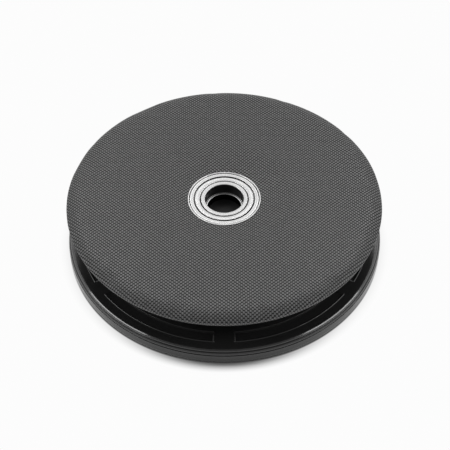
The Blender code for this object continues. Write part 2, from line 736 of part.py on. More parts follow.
def make_turntable_balls(body, finish):
    mesh = ball_mesh("turntable_ball", TURN_BALL_RADIUS, finish)
    for i, (_, x, y) in enumerate(around(TURN_BALL_COUNT, TURN_CIRCLE_RADIUS), 1):
        piece(f"turntable_ball_{i}", mesh, body, (x, y, TURN_BALL_HEIGHT))


# Spindle and plug


def make_spindle(body, finish):
    """Hollow post: a spigot in the bearing, a collar under it and a flange bolted to the base."""
    collar_top = SLEEVE_BOTTOM - CLEAR
    flange_top = SPINDLE_FLANGE_BOTTOM + SPINDLE_FLANGE_THICK
    ledge = PLUG_TOP - PLUG_THICK - PLUG_SKIRT - CLEAR
    foot = PLATE_BOTTOM + CLEAR
    outline = [
        (SPINDLE_BORE, SPINDLE_TOP - SPINDLE_CHAMFER),
        (SPINDLE_BORE + SPINDLE_CHAMFER, SPINDLE_TOP),
        (SPIGOT_RADIUS - CLEAR, SPINDLE_TOP),
        (SPIGOT_RADIUS, SPINDLE_TOP - CLEAR),
        (SPIGOT_RADIUS, collar_top),
        (COLLAR_RADIUS, collar_top),
        (COLLAR_RADIUS, flange_top),
        (SPINDLE_FLANGE_RADIUS, flange_top),
        (SPINDLE_FLANGE_RADIUS, SPINDLE_FLANGE_BOTTOM),
        (PILOT_RADIUS, SPINDLE_FLANGE_BOTTOM),
        (PILOT_RADIUS, foot),
        (SPINDLE_LOWER_BORE, foot),
        (SPINDLE_LOWER_BORE, ledge),
        (SPINDLE_BORE, ledge),
    ]
    spindle = piece("spindle", mesh_of("spindle", turned(outline, SMALL_SIDES), finish), body)
    holes = bmesh.new()
    bottom, top = SPINDLE_FLANGE_BOTTOM - CLEAR, flange_top + CLEAR
    for _, x, y in bolt_places():
        add_cylinder(holes, BOLT_RADIUS + CLEAR, bottom, top, x, y)
    cut(spindle, "spindle_bolt_holes", holes)


def make_bore_plug(body, finish):
    """Cap that closes the hollow spindle and makes the floor of the recess."""
    radius = SPINDLE_BORE - CLEAR
    under = PLUG_TOP - PLUG_THICK
    outline = [
        (0, PLUG_TOP),
        (radius, PLUG_TOP),
        (radius, under - PLUG_SKIRT),
        (radius - PLUG_WALL, under - PLUG_SKIRT),
        (radius - PLUG_WALL, under),
        (0, under),
    ]
    piece("bore_plug", mesh_of("bore_plug", turned(outline, SMALL_SIDES), finish), body)


# Base


def pocket_lands():
    """Angles, from the front, of the six lands of deck between the arc-shaped pockets."""
    rear = (pi + FRONT_LAND_ANGLE) / 2
    return [0.0, FRONT_LAND_ANGLE, rear, pi, 2 * pi - rear, 2 * pi - FRONT_LAND_ANGLE]


def pocket_end(radius, land, side):
    """Angle at which a pocket's wall, parallel to the land's middle line, meets a radius."""
    return land + side * asin(POCKET_LAND / 2 / radius)


def make_pockets():
    """Six shallow arc-shaped recesses as one cutting shape."""
    bm = bmesh.new()
    lands = pocket_lands()
    for start, end in zip(lands, lands[1:] + [lands[0] + 2 * pi]):
        outline = []
        for radius, reverse in ((POCKET_OUTER_RADIUS, False), (POCKET_INNER_RADIUS, True)):
            first, last = pocket_end(radius, start, 1), pocket_end(radius, end, -1)
            span = (last - first) / (POCKET_POINTS - 1)
            angles = [first + span * i for i in range(POCKET_POINTS)]
            outline += [(radius, angle) for angle in (reversed(angles) if reverse else angles)]
        bottom = [
            bm.verts.new((radius * sin(angle), -radius * cos(angle), DECK - POCKET_DEPTH))
            for radius, angle in outline
        ]
        floor = bm.faces.new(bottom)
        lifted = bmesh.ops.extrude_face_region(bm, geom=[floor])["geom"]
        risen = [item for item in lifted if isinstance(item, bmesh.types.BMVert)]
        bmesh.ops.translate(bm, verts=risen, vec=(0, 0, POCKET_DEPTH + EDGE_RADIUS))
    bmesh.ops.recalc_face_normals(bm, faces=bm.faces)
    return bm


def base_cover_outline():
    """Top shell: tower in the middle, flat deck, rounded edge, groove, bead and skirt."""
    flare_foot = TOWER_RADIUS + TOWER_FLARE
    edge = SKIRT_RADIUS - EDGE_RADIUS
    groove = DECK - EDGE_RADIUS
    skirt_end = SEAM_HEIGHT + CLEAR
    bead_middle = (groove - RIM_GROOVE + skirt_end + RIM_GROOVE) / 2
    underside = DECK - SHELL_WALL
    thick = underside - POCKET_DEPTH
    outline = [
        (PLATE_HOLE, TOWER_TOP),
        (LOCATING_RADIUS, TOWER_TOP),
        (LOCATING_RADIUS, RACE_SEAT),
        (TOWER_RADIUS, RACE_SEAT),
        (flare_foot, DECK),
    ]
    outline += arc(edge, groove, EDGE_RADIUS, EDGE_RADIUS, 90, 0, 4)
    outline += [
        (SKIRT_RADIUS - RIM_GROOVE, groove - RIM_GROOVE / 2),
        (SKIRT_RADIUS, groove - RIM_GROOVE),
        (SKIRT_RADIUS + RIM_GROOVE / 2, bead_middle),
        (SKIRT_RADIUS, skirt_end + RIM_GROOVE),
        (SKIRT_RADIUS - RIM_GROOVE, skirt_end),
        (SKIRT_INNER, skirt_end),
        (SKIRT_INNER, underside),
        (POCKET_OUTER_RADIUS + SHELL_WALL, underside),
        (POCKET_OUTER_RADIUS + SHELL_WALL, thick),
        (POCKET_INNER_RADIUS - SHELL_WALL, thick),
        (POCKET_INNER_RADIUS - SHELL_WALL, underside),
        (flare_foot - SHELL_WALL, underside),
        (TOWER_RADIUS - SHELL_WALL, PLATE_BOTTOM),
        (PLATE_HOLE, PLATE_BOTTOM),
    ]
    return outline


def bolt_places():
    return around(BOLT_COUNT, BOLT_CIRCLE_RADIUS, pi / BOLT_COUNT)


def pan_screw_places():
    return around(PAN_SCREW_COUNT, PAN_SCREW_CIRCLE_RADIUS, pi / PAN_SCREW_COUNT)


def make_base_cover(body, finish):
    mesh = mesh_of("base_cover", turned(base_cover_outline(), LARGE_SIDES), finish)
    cover = piece("base_cover", mesh, body)
    underside = DECK - SHELL_WALL
    boss_end = underside - BOSS_LENGTH
    bosses = bmesh.new()
    holes = make_pockets()
    for _, x, y in pan_screw_places():
        add_cylinder(bosses, PAN_SCREW_RADIUS + BOSS_WALL, boss_end, underside + SHELL_WALL / 2, x, y)
        add_cylinder(holes, PAN_SCREW_RADIUS + CLEAR, boss_end - CLEAR, underside, x, y)
    for _, x, y in bolt_places():
        add_cylinder(holes, BOLT_RADIUS + CLEAR, PLATE_BOTTOM - CLEAR, TOWER_TOP + CLEAR, x, y)
    join(cover, "screw_bosses", bosses)
    cut(cover, "cover_recesses", holes)


def base_pan_outline():
    """Bottom shell: rim band, tongue inside the cover's skirt, raised floor and the bolted hub."""
    corner = BASE_RADIUS - PAN_CORNER
    tongue = SKIRT_INNER - CLEAR
    tongue_top = DECK - SHELL_WALL - CLEAR
    rim_inner = BASE_RADIUS - PAN_RIM_WIDTH
    inside = PAN_FLOOR + SHELL_WALL
    hub_top = PLATE_BOTTOM - CLEAR
    shoulder = SEAM_HEIGHT - CLEAR
    outline = [(0, PAN_FLOOR), (PAN_HUB_INNER, PAN_FLOOR), (PAN_HUB_INNER, PAN_BOTTOM)]
    outline += [(PAN_HUB_OUTER, PAN_BOTTOM), (PAN_HUB_OUTER, PAN_FLOOR)]
    outline += [(rim_inner, PAN_FLOOR), (rim_inner + PAN_RECESS, PAN_BOTTOM)]
    outline += arc(corner, PAN_BOTTOM + PAN_CORNER, PAN_CORNER, PAN_CORNER, -90, 0, 3)
    outline += [
        (BASE_RADIUS, shoulder - RIM_GROOVE),
        (BASE_RADIUS - RIM_GROOVE, shoulder),
        (tongue, shoulder),
        (tongue, tongue_top),
        (tongue - SHELL_WALL, tongue_top),
        (tongue - SHELL_WALL, inside),
        (PAN_HUB_OUTER, inside),
        (PAN_HUB_OUTER, hub_top),
        (PAN_HUB_INNER, hub_top),
        (PAN_HUB_INNER, inside),
        (0, inside),
    ]
    return outline


def make_base_pan(body, finish):
    mesh = mesh_of("base_pan", turned(base_pan_outline(), LARGE_SIDES), finish)
    pan = piece("base_pan", mesh, body)
    pillars = bmesh.new()
    holes = bmesh.new()
    pillar_top = DECK - SHELL_WALL - BOSS_LENGTH - CLEAR
    seat = PAN_FLOOR + SCREW_HEAD_HEIGHT
    for _, x, y in pan_screw_places():
        add_cylinder(pillars, SCREW_HEAD_RADIUS + BOSS_WALL, PAN_BOTTOM + CLEAR, pillar_top, x, y)
        shank, well = PAN_SCREW_RADIUS + CLEAR, SCREW_HEAD_RADIUS + 2 * CLEAR
        add_stepped_hole(holes, shank, well, PAN_BOTTOM, seat, pillar_top + CLEAR, x, y)
    ribs = bmesh.new()
    start, outer = PAN_HUB_OUTER - PAN_RIB_THICK, BASE_RADIUS - PAN_RIM_WIDTH + PAN_RECESS
    root = PAN_FLOOR + SHELL_WALL / 2
    for angle, _, _ in around(PAN_RIB_COUNT, outer, pi / PAN_RIB_COUNT):
        add_spoke(ribs, start, outer, PAN_RIB_THICK, PAN_BOTTOM + CLEAR, root, angle)
    join(pan, "pan_ribs", ribs)
    join(pan, "pan_pillars", pillars)
    for _, x, y in bolt_places():
        shank, well = BOLT_RADIUS + CLEAR, BOLT_HEAD_RADIUS + 2 * CLEAR
        bottom, seat = PAN_BOTTOM - CLEAR, PAN_BOTTOM + BOLT_WELL
        add_stepped_hole(holes, shank, well, bottom, seat, PLATE_BOTTOM + CLEAR, x, y)
    seat = PAN_BOTTOM + FOOT_SEAT + CLEAR
    for _, x, y in around(FOOT_COUNT, FOOT_CIRCLE_RADIUS):
        add_cylinder(holes, FOOT_RADIUS + CLEAR, PAN_BOTTOM - CLEAR, seat, x, y)
    cut(pan, "pan_holes", holes)


def make_base_fasteners(body, finish):
    head = PAN_BOTTOM + BOLT_WELL - CLEAR - BOLT_HEAD_HEIGHT
    bolt_end = SPINDLE_FLANGE_BOTTOM + SPINDLE_FLANGE_THICK - CLEAR
    length = bolt_end - head - BOLT_HEAD_HEIGHT
    bolt = screw_mesh("spindle_bolt", finish, BOLT_RADIUS, length, BOLT_HEAD_RADIUS, BOLT_HEAD_HEIGHT)
    for i, (_, x, y) in enumerate(bolt_places(), 1):
        piece(f"spindle_bolt_{i}", bolt, body, (x, y, head))
    head = PAN_FLOOR - CLEAR
    length = DECK - SHELL_WALL - CLEAR - head - SCREW_HEAD_HEIGHT
    screw_head = SCREW_HEAD_RADIUS, SCREW_HEAD_HEIGHT
    screw = screw_mesh("pan_screw", finish, PAN_SCREW_RADIUS, length, *screw_head)
    for i, (_, x, y) in enumerate(pan_screw_places(), 1):
        piece(f"pan_screw_{i}", screw, body, (x, y, head))


def make_feet(body, finish):
    """Rubber discs pressed into round seats in the base's underside."""
    bm = bmesh.new()
    add_cylinder(bm, FOOT_RADIUS, 0, FOOT_STAND + FOOT_SEAT)
    mesh = mesh_of("foot", tidy(bm), finish)
    for i, (_, x, y) in enumerate(around(FOOT_COUNT, FOOT_CIRCLE_RADIUS), 1):
        piece(f"foot_{i}", mesh, body, (x, y, 0))


def main():
    clear_scene()
    cloth = material("woven_cloth", (0.11, 0.11, 0.112), 0.9)
    foam = material("foam", (0.55, 0.55, 0.52), 0.95)
    board = material("board_plastic", (0.03, 0.03, 0.032), 0.55)
    black = material("black_plastic", (0.012, 0.012, 0.013), 0.45)
    steel = material("polished_steel", (0.82, 0.82, 0.82), 0.15, 1.0)
    race_steel = material("race_steel", (0.6, 0.6, 0.61), 0.25, 1.0)
    brass = material("cage_brass", (0.72, 0.52, 0.25), 0.3, 1.0)
    acetal = material("cage_plastic", (0.7, 0.7, 0.66), 0.5)
    zinc = material("zinc_plate", (0.55, 0.56, 0.58), 0.35, 1.0)
    blackened = material("blackened_steel", (0.02, 0.02, 0.022), 0.35, 1.0)
    rubber = material("foot_rubber", (0.02, 0.02, 0.02), 0.85)

    base = axis_empty("base_body", 0)
    seat = axis_empty("seat_body", TURN_BALL_HEIGHT)
    bearing_cage = axis_empty("bearing_cage_body", BEARING_MIDDLE)
    turntable_cage = axis_empty("turntable_cage_body", TURN_BALL_HEIGHT)

    make_seat_cover(seat, cloth)
    make_foam_pad(seat, foam)
    make_seat_board(seat, board)
    make_hem_ring(seat, black)
    make_bearing_housing(seat, steel)
    make_housing_screws(seat, zinc)
    make_outer_race(seat, steel)
    make_shields(seat, steel)
    make_inner_race(base, steel)
    make_grub_screws(base, blackened)
    make_bearing_cage(bearing_cage, brass)
    make_bearing_balls(bearing_cage, steel)
    make_turntable_races(seat, base, race_steel)
    make_turntable_cage(turntable_cage, acetal)
    make_turntable_balls(turntable_cage, steel)
    make_spindle(base, blackened)
    make_bore_plug(base, black)
    make_base_cover(base, black)
    make_base_pan(base, black)
    make_base_fasteners(base, zinc)
    make_feet(base, rubber)


main()
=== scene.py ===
from math import acos, asin, atan2, ceil, cos, hypot, pi, radians, sin, sqrt, tan

import bmesh
import bpy
import numpy as np
from mathutils import Matrix, Quaternion, Vector


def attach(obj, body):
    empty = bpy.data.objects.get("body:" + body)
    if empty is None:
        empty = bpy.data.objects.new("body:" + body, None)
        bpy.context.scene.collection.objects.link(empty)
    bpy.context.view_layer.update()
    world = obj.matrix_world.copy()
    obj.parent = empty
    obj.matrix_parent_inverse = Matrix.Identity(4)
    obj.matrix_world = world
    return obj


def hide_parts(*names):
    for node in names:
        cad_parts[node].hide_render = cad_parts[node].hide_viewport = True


# Swivel seat cushion. Outlines are drawn in millimetres as (radius, height, fillet) round the turning axis.
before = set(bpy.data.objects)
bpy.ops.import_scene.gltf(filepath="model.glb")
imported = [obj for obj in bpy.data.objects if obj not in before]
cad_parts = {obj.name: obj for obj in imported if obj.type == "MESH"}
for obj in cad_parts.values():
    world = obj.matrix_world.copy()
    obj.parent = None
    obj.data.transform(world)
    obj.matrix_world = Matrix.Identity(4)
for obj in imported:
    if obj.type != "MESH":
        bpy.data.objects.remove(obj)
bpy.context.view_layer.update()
scene = bpy.context.scene
scene.view_settings.view_transform = "Standard"
milli = 0.001


# Node helpers


def wire(tree, value, socket):
    # joins an output to a socket, or sets a plain value there
    if isinstance(value, (int, float, tuple)):
        socket.default_value = value
    else:
        tree.links.new(value, socket)


def filled(tree, node, **values):
    # joins or sets a node's inputs by name
    for label, value in values.items():
        wire(tree, value, node.inputs[label.replace("_", " ")])
    return node


def placed(tree, kind, **values):
    # a new node with its inputs given by name; hands back its first output
    return filled(tree, tree.nodes.new(kind), **values).outputs[0]


def inOrder(tree, node, values):
    for value, socket in zip(values, node.inputs):
        wire(tree, value, socket)
    return node.outputs


def calc(tree, operation, *values):
    node = tree.nodes.new("ShaderNodeMath")
    node.operation = operation
    return inOrder(tree, node, values)[0]


def vectorCalc(tree, operation, *values):
    node = tree.nodes.new("ShaderNodeVectorMath")
    node.operation = operation
    return inOrder(tree, node, values)["Value" if operation in ("DOT_PRODUCT", "LENGTH") else "Vector"]


def joined(tree, x, y, z=0.0):
    return inOrder(tree, tree.nodes.new("ShaderNodeCombineXYZ"), (x, y, z))[0]


def parted(tree, vector):
    return inOrder(tree, tree.nodes.new("ShaderNodeSeparateXYZ"), (vector,))


def blended(tree, share, first, second):
    return inOrder(tree, tree.nodes.new("ShaderNodeMixShader"), (share, first, second))[0]


def tone(tree, mask, low, high):
    # a colour that goes from low to high with a mask
    node = tree.nodes.new("ShaderNodeMix")
    node.data_type = "RGBA"
    wire(tree, mask, node.inputs[0])
    wire(tree, low, node.inputs[6])
    wire(tree, high, node.inputs[7])
    return node.outputs[2]


def smoothRamp(tree, value, low, high, outLow=0.0, outHigh=1.0):
    node = tree.nodes.new("ShaderNodeMapRange")
    node.interpolation_type = "SMOOTHSTEP"
    return inOrder(tree, node, (value, low, high, outLow, outHigh))[0]


def lengthRamp(tree, length, low, high, outLow=0.0, outHigh=1.0):
    # a ramp between two lengths given in millimetres
    return smoothRamp(tree, length, low * milli, high * milli, outLow, outHigh)


def noise(tree, vector, scale, detail=3.0, roughness=0.55):
    return placed(tree, "ShaderNodeTexNoise", Vector=vector, Scale=scale, Detail=detail, Roughness=roughness)


def radiusOf(tree, vector):
    # distance from the turning axis, and height
    x, y, z = parted(tree, vector)
    across = calc(tree, "ADD", calc(tree, "POWER", x, 2.0), calc(tree, "POWER", y, 2.0))
    return calc(tree, "SQRT", across), z


def newGroup(name, kind, takes, gives):
    group = bpy.data.node_groups.new(name, kind)
    for side, sockets in (("INPUT", takes), ("OUTPUT", gives)):
        for label, held in sockets.items():
            group.interface.new_socket(label, in_out=side, socket_type="NodeSocket" + held)
    return group, group.nodes.new("NodeGroupInput").outputs, group.nodes.new("NodeGroupOutput").inputs


def endGroup(group, made, **results):
    for label, value in results.items():
        group.links.new(value, made[label])
    return group


# Camera, floor and light

camera = {
    "aimHeight": 78.0,  # the bearing's face
    "distance": 1660.1,
    "elevation": 46.694,
    "azimuth": 0.45,
    "lookLower": 1.186,
    "yaw": 0.023,
    "roll": -0.428,
    "lens": 102.98,
}


def turnPair(first, second, angle):
    return first * cos(angle) - second * sin(angle), second * cos(angle) + first * sin(angle)


def placeCamera(c):
    up = radians(c["elevation"])
    forward = Vector((0, cos(up), -sin(up)))
    upward = Vector((0, sin(up), cos(up)))
    right = Vector((1, 0, 0))
    place = -forward * c["distance"]
    forward, upward = turnPair(forward, upward, radians(c["lookLower"]))
    right, forward = turnPair(right, forward, radians(c["yaw"]))
    upward, right = turnPair(upward, right, radians(c["roll"]))
    lens = bpy.data.cameras.new("viewCamera")
    lens.lens = c["lens"]
    lens.sensor_width = 36
    lens.clip_start, lens.clip_end = 0.05, 50
    eye = bpy.data.objects.new("viewCamera", lens)
    scene.collection.objects.link(eye)
    turn = Matrix((right, upward, -forward)).transposed().to_4x4()
    swing = Matrix.Rotation(radians(c["azimuth"]), 4, "Z")
    lift = Matrix.Translation((0, 0, c["aimHeight"] * milli))
    eye.matrix_world = lift @ swing @ Matrix.Translation(place * milli) @ turn
    scene.camera = eye


# lengths here are in metres
studio = {
    "floorSide": 9.0,
    "floorColour": (0.97, 0.97, 0.97, 1),
    "paintedShadowColour": (0.32, 0.32, 0.32, 1),  # painted shadow: the floor's own colour darkens close round the base, out to the radii below
    "paintedShadowEnds": (0.2050, 0.2125),
    "shadowEnds": (0.2070, 0.2200),  # the floor's shadow fades to plain white between these radii
    "shadowUnder": (0.2042, 0.2062),  # and is whole under the base
    "shadowFront": 0.86,  # it is full in front of the seat, away from the lamps, and faint at the sides
    "shadowSides": 0.12,
    "shadowTurn": 7.0,  # higher keeps it closer to the front
    "shadowMirrored": 0.45,  # and this much weaker in reflections
    "floorWhite": 0.975,
    "tentLevel": 0.85,
    "overheadLevel": 0.45,  # of the tent's, straight above
    "overheadEnds": (0.74, 0.90),
    "cameraSideLevel": 0.24,  # and round the camera
    "cameraSideEnds": (0.25, 0.88),
    "lampAway": 2.0,
    "lampAim": 0.05,
    # each pair of soft boxes: turn from the front, height in degrees, width, depth, slant and power
    "lamps": ((150.0, 54.0, 0.8, 0.8, 0.0, 6.4), (77.0, 38.5, 1.34, 0.36, 27.0, 5.4)),
    "openUnder": 0.198,  # the floor is open under the base, so that light reaches its underside
}


def makeWorld(s, towardsCamera):
    # a white tent, dimmer overhead and round the camera; the camera itself sees plain white
    world = bpy.data.worlds.new("whiteTent")
    scene.world = world
    world.use_nodes = True
    tree = world.node_tree
    tree.nodes.clear()
    facing = tree.nodes.new("ShaderNodeTexCoord").outputs["Generated"]
    side = vectorCalc(tree, "DOT_PRODUCT", facing, towardsCamera)
    above = vectorCalc(tree, "DOT_PRODUCT", facing, (0, 0, 1))
    sideLevel = smoothRamp(tree, side, *s["cameraSideEnds"], s["tentLevel"], s["cameraSideLevel"])
    aboveLevel = smoothRamp(tree, above, *s["overheadEnds"], 1.0, s["overheadLevel"])
    white, level = (1, 1, 1, 1), calc(tree, "MULTIPLY", sideLevel, aboveLevel)
    lit = placed(tree, "ShaderNodeBackground", Color=white, Strength=level)
    seen = placed(tree, "ShaderNodeBackground", Color=white)
    path = tree.nodes.new("ShaderNodeLightPath").outputs
    out = tree.nodes.new("ShaderNodeOutputWorld")
    filled(tree, out, Surface=blended(tree, path["Is Camera Ray"], lit, seen))


def floorMasks(tree, s):
    # 0 where the floor shows its shadow and 1 where it is plain white; the painted shadow round the base; the
    # hole under the base
    where = tree.nodes.new("ShaderNodeTexCoord").outputs["Object"]
    path = tree.nodes.new("ShaderNodeLightPath").outputs
    away = vectorCalc(tree, "LENGTH", where)
    front = vectorCalc(tree, "DOT_PRODUCT", vectorCalc(tree, "NORMALIZE", where), (0, -1, 0))
    fade = smoothRamp(tree, away, *s["shadowEnds"], 1.0, 0.0)
    forward = calc(tree, "POWER", calc(tree, "MAXIMUM", front, 0.0), s["shadowTurn"])
    strength = calc(tree, "MULTIPLY_ADD", forward, s["shadowFront"], s["shadowSides"])
    mirrored = calc(tree, "MULTIPLY_ADD", path["Is Glossy Ray"], -s["shadowMirrored"], 1.0)
    shadow = calc(tree, "MULTIPLY", fade, calc(tree, "MULTIPLY", strength, mirrored))
    outside = smoothRamp(tree, away, *s["shadowUnder"])
    shown = calc(tree, "MULTIPLY", calc(tree, "SUBTRACT", 1.0, shadow), outside)
    looking = calc(tree, "MAXIMUM", path["Is Camera Ray"], path["Is Glossy Ray"])
    hole = calc(tree, "SUBTRACT", calc(tree, "LESS_THAN", away, s["openUnder"]), path["Is Camera Ray"])
    return calc(tree, "MULTIPLY", shown, looking), smoothRamp(tree, away, *s["paintedShadowEnds"]), hole


def makeFloor(s):
    half = s["floorSide"] / 2
    corners = [(-half, -half, 0), (half, -half, 0), (half, half, 0), (-half, half, 0)]
    mesh = bpy.data.meshes.new("studioFloor")
    mesh.from_pydata(corners, [], [(0, 1, 2, 3)])
    floor = bpy.data.objects.new("studioFloor", mesh)
    scene.collection.objects.link(floor)
    paper = bpy.data.materials.new("whitePaper")
    paper.use_nodes = True
    tree = paper.node_tree
    tree.nodes.clear()
    clear, paintedShadow, hole = floorMasks(tree, s)
    # painted shadow: the floor's colour is darker close round the base
    shade = tone(tree, paintedShadow, s["paintedShadowColour"], s["floorColour"])
    matt = placed(tree, "ShaderNodeBsdfDiffuse", Color=shade)
    glow = placed(tree, "ShaderNodeEmission", Color=(1, 1, 1, 1), Strength=s["floorWhite"])
    # from under the floor the object can be seen
    below = tree.nodes.new("ShaderNodeNewGeometry").outputs["Backfacing"]
    through = placed(tree, "ShaderNodeBsdfTransparent")
    surface = blended(tree, calc(tree, "MAXIMUM", below, hole), blended(tree, clear, matt, glow), through)
    filled(tree, tree.nodes.new("ShaderNodeOutputMaterial"), Surface=surface)
    mesh.materials.append(paper)


def makeLamps(s):
    pairs = s["lamps"] + tuple((-turn, *others) for turn, *others in s["lamps"])
    for turn, height, width, depth, slant, power in pairs:
        lamp = bpy.data.lights.new("softBox", "AREA")
        lamp.shape, lamp.size, lamp.size_y, lamp.energy = "ELLIPSE", width, depth, power
        box = bpy.data.objects.new("softBox", lamp)
        scene.collection.objects.link(box)
        around, up = radians(turn), radians(height)
        box.location = Vector((sin(around) * cos(up), -cos(around) * cos(up), sin(up))) * s["lampAway"]
        facing = (Vector((0, 0, s["lampAim"])) - box.location).to_track_quat("-Z", "Y")
        tipped = Quaternion((0, 0, 1), radians(-slant if turn > 0 else slant))
        box.rotation_euler = (facing @ tipped).to_euler()


placeCamera(camera)
makeWorld(studio, (0, -cos(radians(camera["elevation"])), sin(radians(camera["elevation"]))))
makeFloor(studio)
makeLamps(studio)
print("camera and studio ready")


# Shader groups shared by the finishes

weaving = {
    "driftScale": 38.0,  # how closely the threads wander
    "driftDetail": 2.0,
    "threadRound": 0.6,  # lower is flatter on top
    "underLevel": 0.3,  # a thread's height where it passes under, of its height above
    "bunchScale": 44.0,
    "bunchEnds": (0.36, 0.64),
    "bunchPull": 0.22,
    "crossingSoft": 0.35,
    "fibreScales": (9000.0, 900.0),  # across a thread and along it
    "fibreDepth": 0.12,
    "crownEnds": (0.10, 0.55),
}


def makeThreadWeave(w):
    # plain weave: two sets of threads that pass over and under each other
    group, given, made = newGroup(
        "threadWeave", "ShaderNodeTree",
        {"Vector": "Vector", "Warp Pitch": "Float", "Weft Pitch": "Float", "Slub": "Float"},
        {"Height": "Float", "Crown": "Float", "Warp": "Float", "Fibre": "Float", "Dye": "Float"},
    )
    vector, pitches = given["Vector"], (given["Warp Pitch"], given["Weft Pitch"])
    drift = filled(group, group.nodes.new("ShaderNodeTexNoise"),
                   Vector=vector, Scale=w["driftScale"], Detail=w["driftDetail"])
    slub = joined(group, given["Slub"], given["Slub"])
    shifted = vectorCalc(group, "MULTIPLY_ADD", drift.outputs["Color"], slub, vector)
    alongX, alongY = [
        calc(group, "MULTIPLY", place, calc(group, "DIVIDE", pi, pitch))
        for place, pitch in zip(parted(group, shifted), pitches)
    ]
    sineX, sineY = calc(group, "SINE", alongX), calc(group, "SINE", alongY)
    low = w["underLevel"]
    tops = []
    for own, other, sign in ((sineX, sineY, 0.5), (sineY, sineX, -0.5)):
        rounding = calc(group, "POWER", calc(group, "ABSOLUTE", own), w["threadRound"])
        crossed = calc(group, "MULTIPLY", calc(group, "SIGN", own), other)
        lift = calc(group, "MULTIPLY_ADD", crossed, sign, 0.5)
        tops.append(calc(group, "MULTIPLY", rounding, calc(group, "MULTIPLY_ADD", lift, 1 - low, low)))
    height = calc(group, "MAXIMUM", *tops)
    # threads bunch up along one diagonal here and the other there
    rising = calc(group, "COSINE", calc(group, "SUBTRACT", alongX, alongY))
    falling = calc(group, "MULTIPLY", calc(group, "COSINE", calc(group, "ADD", alongX, alongY)), -1.0)
    choice = smoothRamp(group, noise(group, vector, w["bunchScale"], 2.0), *w["bunchEnds"])
    bunched = calc(group, "MULTIPLY_ADD", calc(group, "SUBTRACT", rising, falling), choice, falling)
    over = calc(group, "MULTIPLY_ADD", bunched, w["bunchPull"], calc(group, "SUBTRACT", *tops))
    warp = smoothRamp(group, over, -w["crossingSoft"], w["crossingSoft"])
    # each crossing is a little paler or darker than the next
    dyed = group.nodes.new("ShaderNodeTexWhiteNoise")
    dyed.noise_dimensions = "2D"
    filled(group, dyed, Vector=vectorCalc(group, "SNAP", shifted, joined(group, *pitches)))
    # fine fibres along each thread
    across, along = w["fibreScales"]
    strandWarp, strandWeft = [
        noise(group, placed(group, "ShaderNodeMapping", Vector=shifted, Scale=scale), 1.0, 2.0)
        for scale in ((across, along, 1.0), (along, across, 1.0))
    ]
    fibre = calc(group, "MULTIPLY_ADD", calc(group, "SUBTRACT", strandWarp, strandWeft), warp, strandWeft)
    return endGroup(
        group, made, Height=calc(group, "MULTIPLY_ADD", fibre, w["fibreDepth"], height),
        Crown=smoothRamp(group, height, *w["crownEnds"]), Warp=warp, Fibre=fibre, Dye=dyed.outputs["Value"],
    )


graining = {"fineScale": 2.3, "cellDepth": 0.6, "fineDepth": 0.5, "fleckEnds": (0.35, 0.7)}


def makeMouldedGrain(g):
    # the fine spark-eroded grain of a moulded plastic face
    group, given, made = newGroup(
        "mouldedGrain", "ShaderNodeTree",
        {"Vector": "Vector", "Scale": "Float"}, {"Height": "Float", "Fleck": "Float"},
    )
    cells = group.nodes.new("ShaderNodeTexVoronoi")
    cells.feature = "SMOOTH_F1"
    filled(group, cells, Vector=given["Vector"], Scale=given["Scale"])
    fine = noise(group, given["Vector"], calc(group, "MULTIPLY", given["Scale"], g["fineScale"]))
    rise = calc(group, "MULTIPLY", fine, g["fineDepth"])
    height = calc(group, "MULTIPLY_ADD", cells.outputs["Distance"], g["cellDepth"], rise)
    return endGroup(group, made, Height=height, Fleck=smoothRamp(group, fine, *g["fleckEnds"]))


turning = {"heightShare": 1.37, "ringEnds": (0.35, 0.65)}


def makeTurnedMarks(t):
    # faint rings that a lathe or grinder leaves round the axis
    group, given, made = newGroup(
        "turnedMarks", "ShaderNodeTree",
        {"Vector": "Vector", "Pitch": "Float"}, {"Height": "Float", "Ring": "Float"},
    )
    radius, height = radiusOf(group, given["Vector"])
    travel = calc(group, "ADD", radius, calc(group, "MULTIPLY", height, t["heightShare"]))
    rings = group.nodes.new("ShaderNodeTexNoise")
    rings.noise_dimensions = "1D"
    filled(group, rings, W=calc(group, "DIVIDE", travel, given["Pitch"]), Scale=1.0, Detail=1.0)
    marks = rings.outputs["Fac"]
    return endGroup(group, made, Height=marks, Ring=smoothRamp(group, marks, *t["ringEnds"]))


handling = {"patchEnds": (0.32, 0.68), "dustScale": 60.0, "dustEnds": (0.70, 0.80)}


def makeHandlingMarks(h):
    # cloudy patches left by hands and cleaning
    group, given, made = newGroup(
        "handlingMarks", "ShaderNodeTree",
        {"Vector": "Vector", "Scale": "Float"}, {"Patch": "Float", "Speck": "Float"},
    )
    cloud = noise(group, given["Vector"], given["Scale"], 4.0, 0.6)
    dust = noise(group, given["Vector"], calc(group, "MULTIPLY", given["Scale"], h["dustScale"]), 1.0)
    return endGroup(group, made, Patch=smoothRamp(group, cloud, *h["patchEnds"]),
                    Speck=smoothRamp(group, dust, *h["dustEnds"]))


wearing = {"breakScale": 140.0, "breakDepth": 1.2, "wornEnds": (1.0, 0.2)}


def makeEdgeWear(w):
    # a worn band along one turned edge, at a radius and a height
    group, given, made = newGroup(
        "edgeWear", "ShaderNodeTree",
        {"Vector": "Vector", "Edge Radius": "Float", "Edge Height": "Float", "Reach": "Float"},
        {"Worn": "Float"},
    )
    radius, height = radiusOf(group, given["Vector"])
    off = calc(group, "POWER", calc(group, "SUBTRACT", radius, given["Edge Radius"]), 2.0)
    up = calc(group, "POWER", calc(group, "SUBTRACT", height, given["Edge Height"]), 2.0)
    near = calc(group, "DIVIDE", calc(group, "SQRT", calc(group, "ADD", off, up)), given["Reach"])
    rough = noise(group, given["Vector"], w["breakScale"], 4.0)
    broken = calc(group, "MULTIPLY_ADD", rough, w["breakDepth"], -w["breakDepth"] / 2)
    return endGroup(group, made, Worn=smoothRamp(group, calc(group, "ADD", near, broken), *w["wornEnds"]))


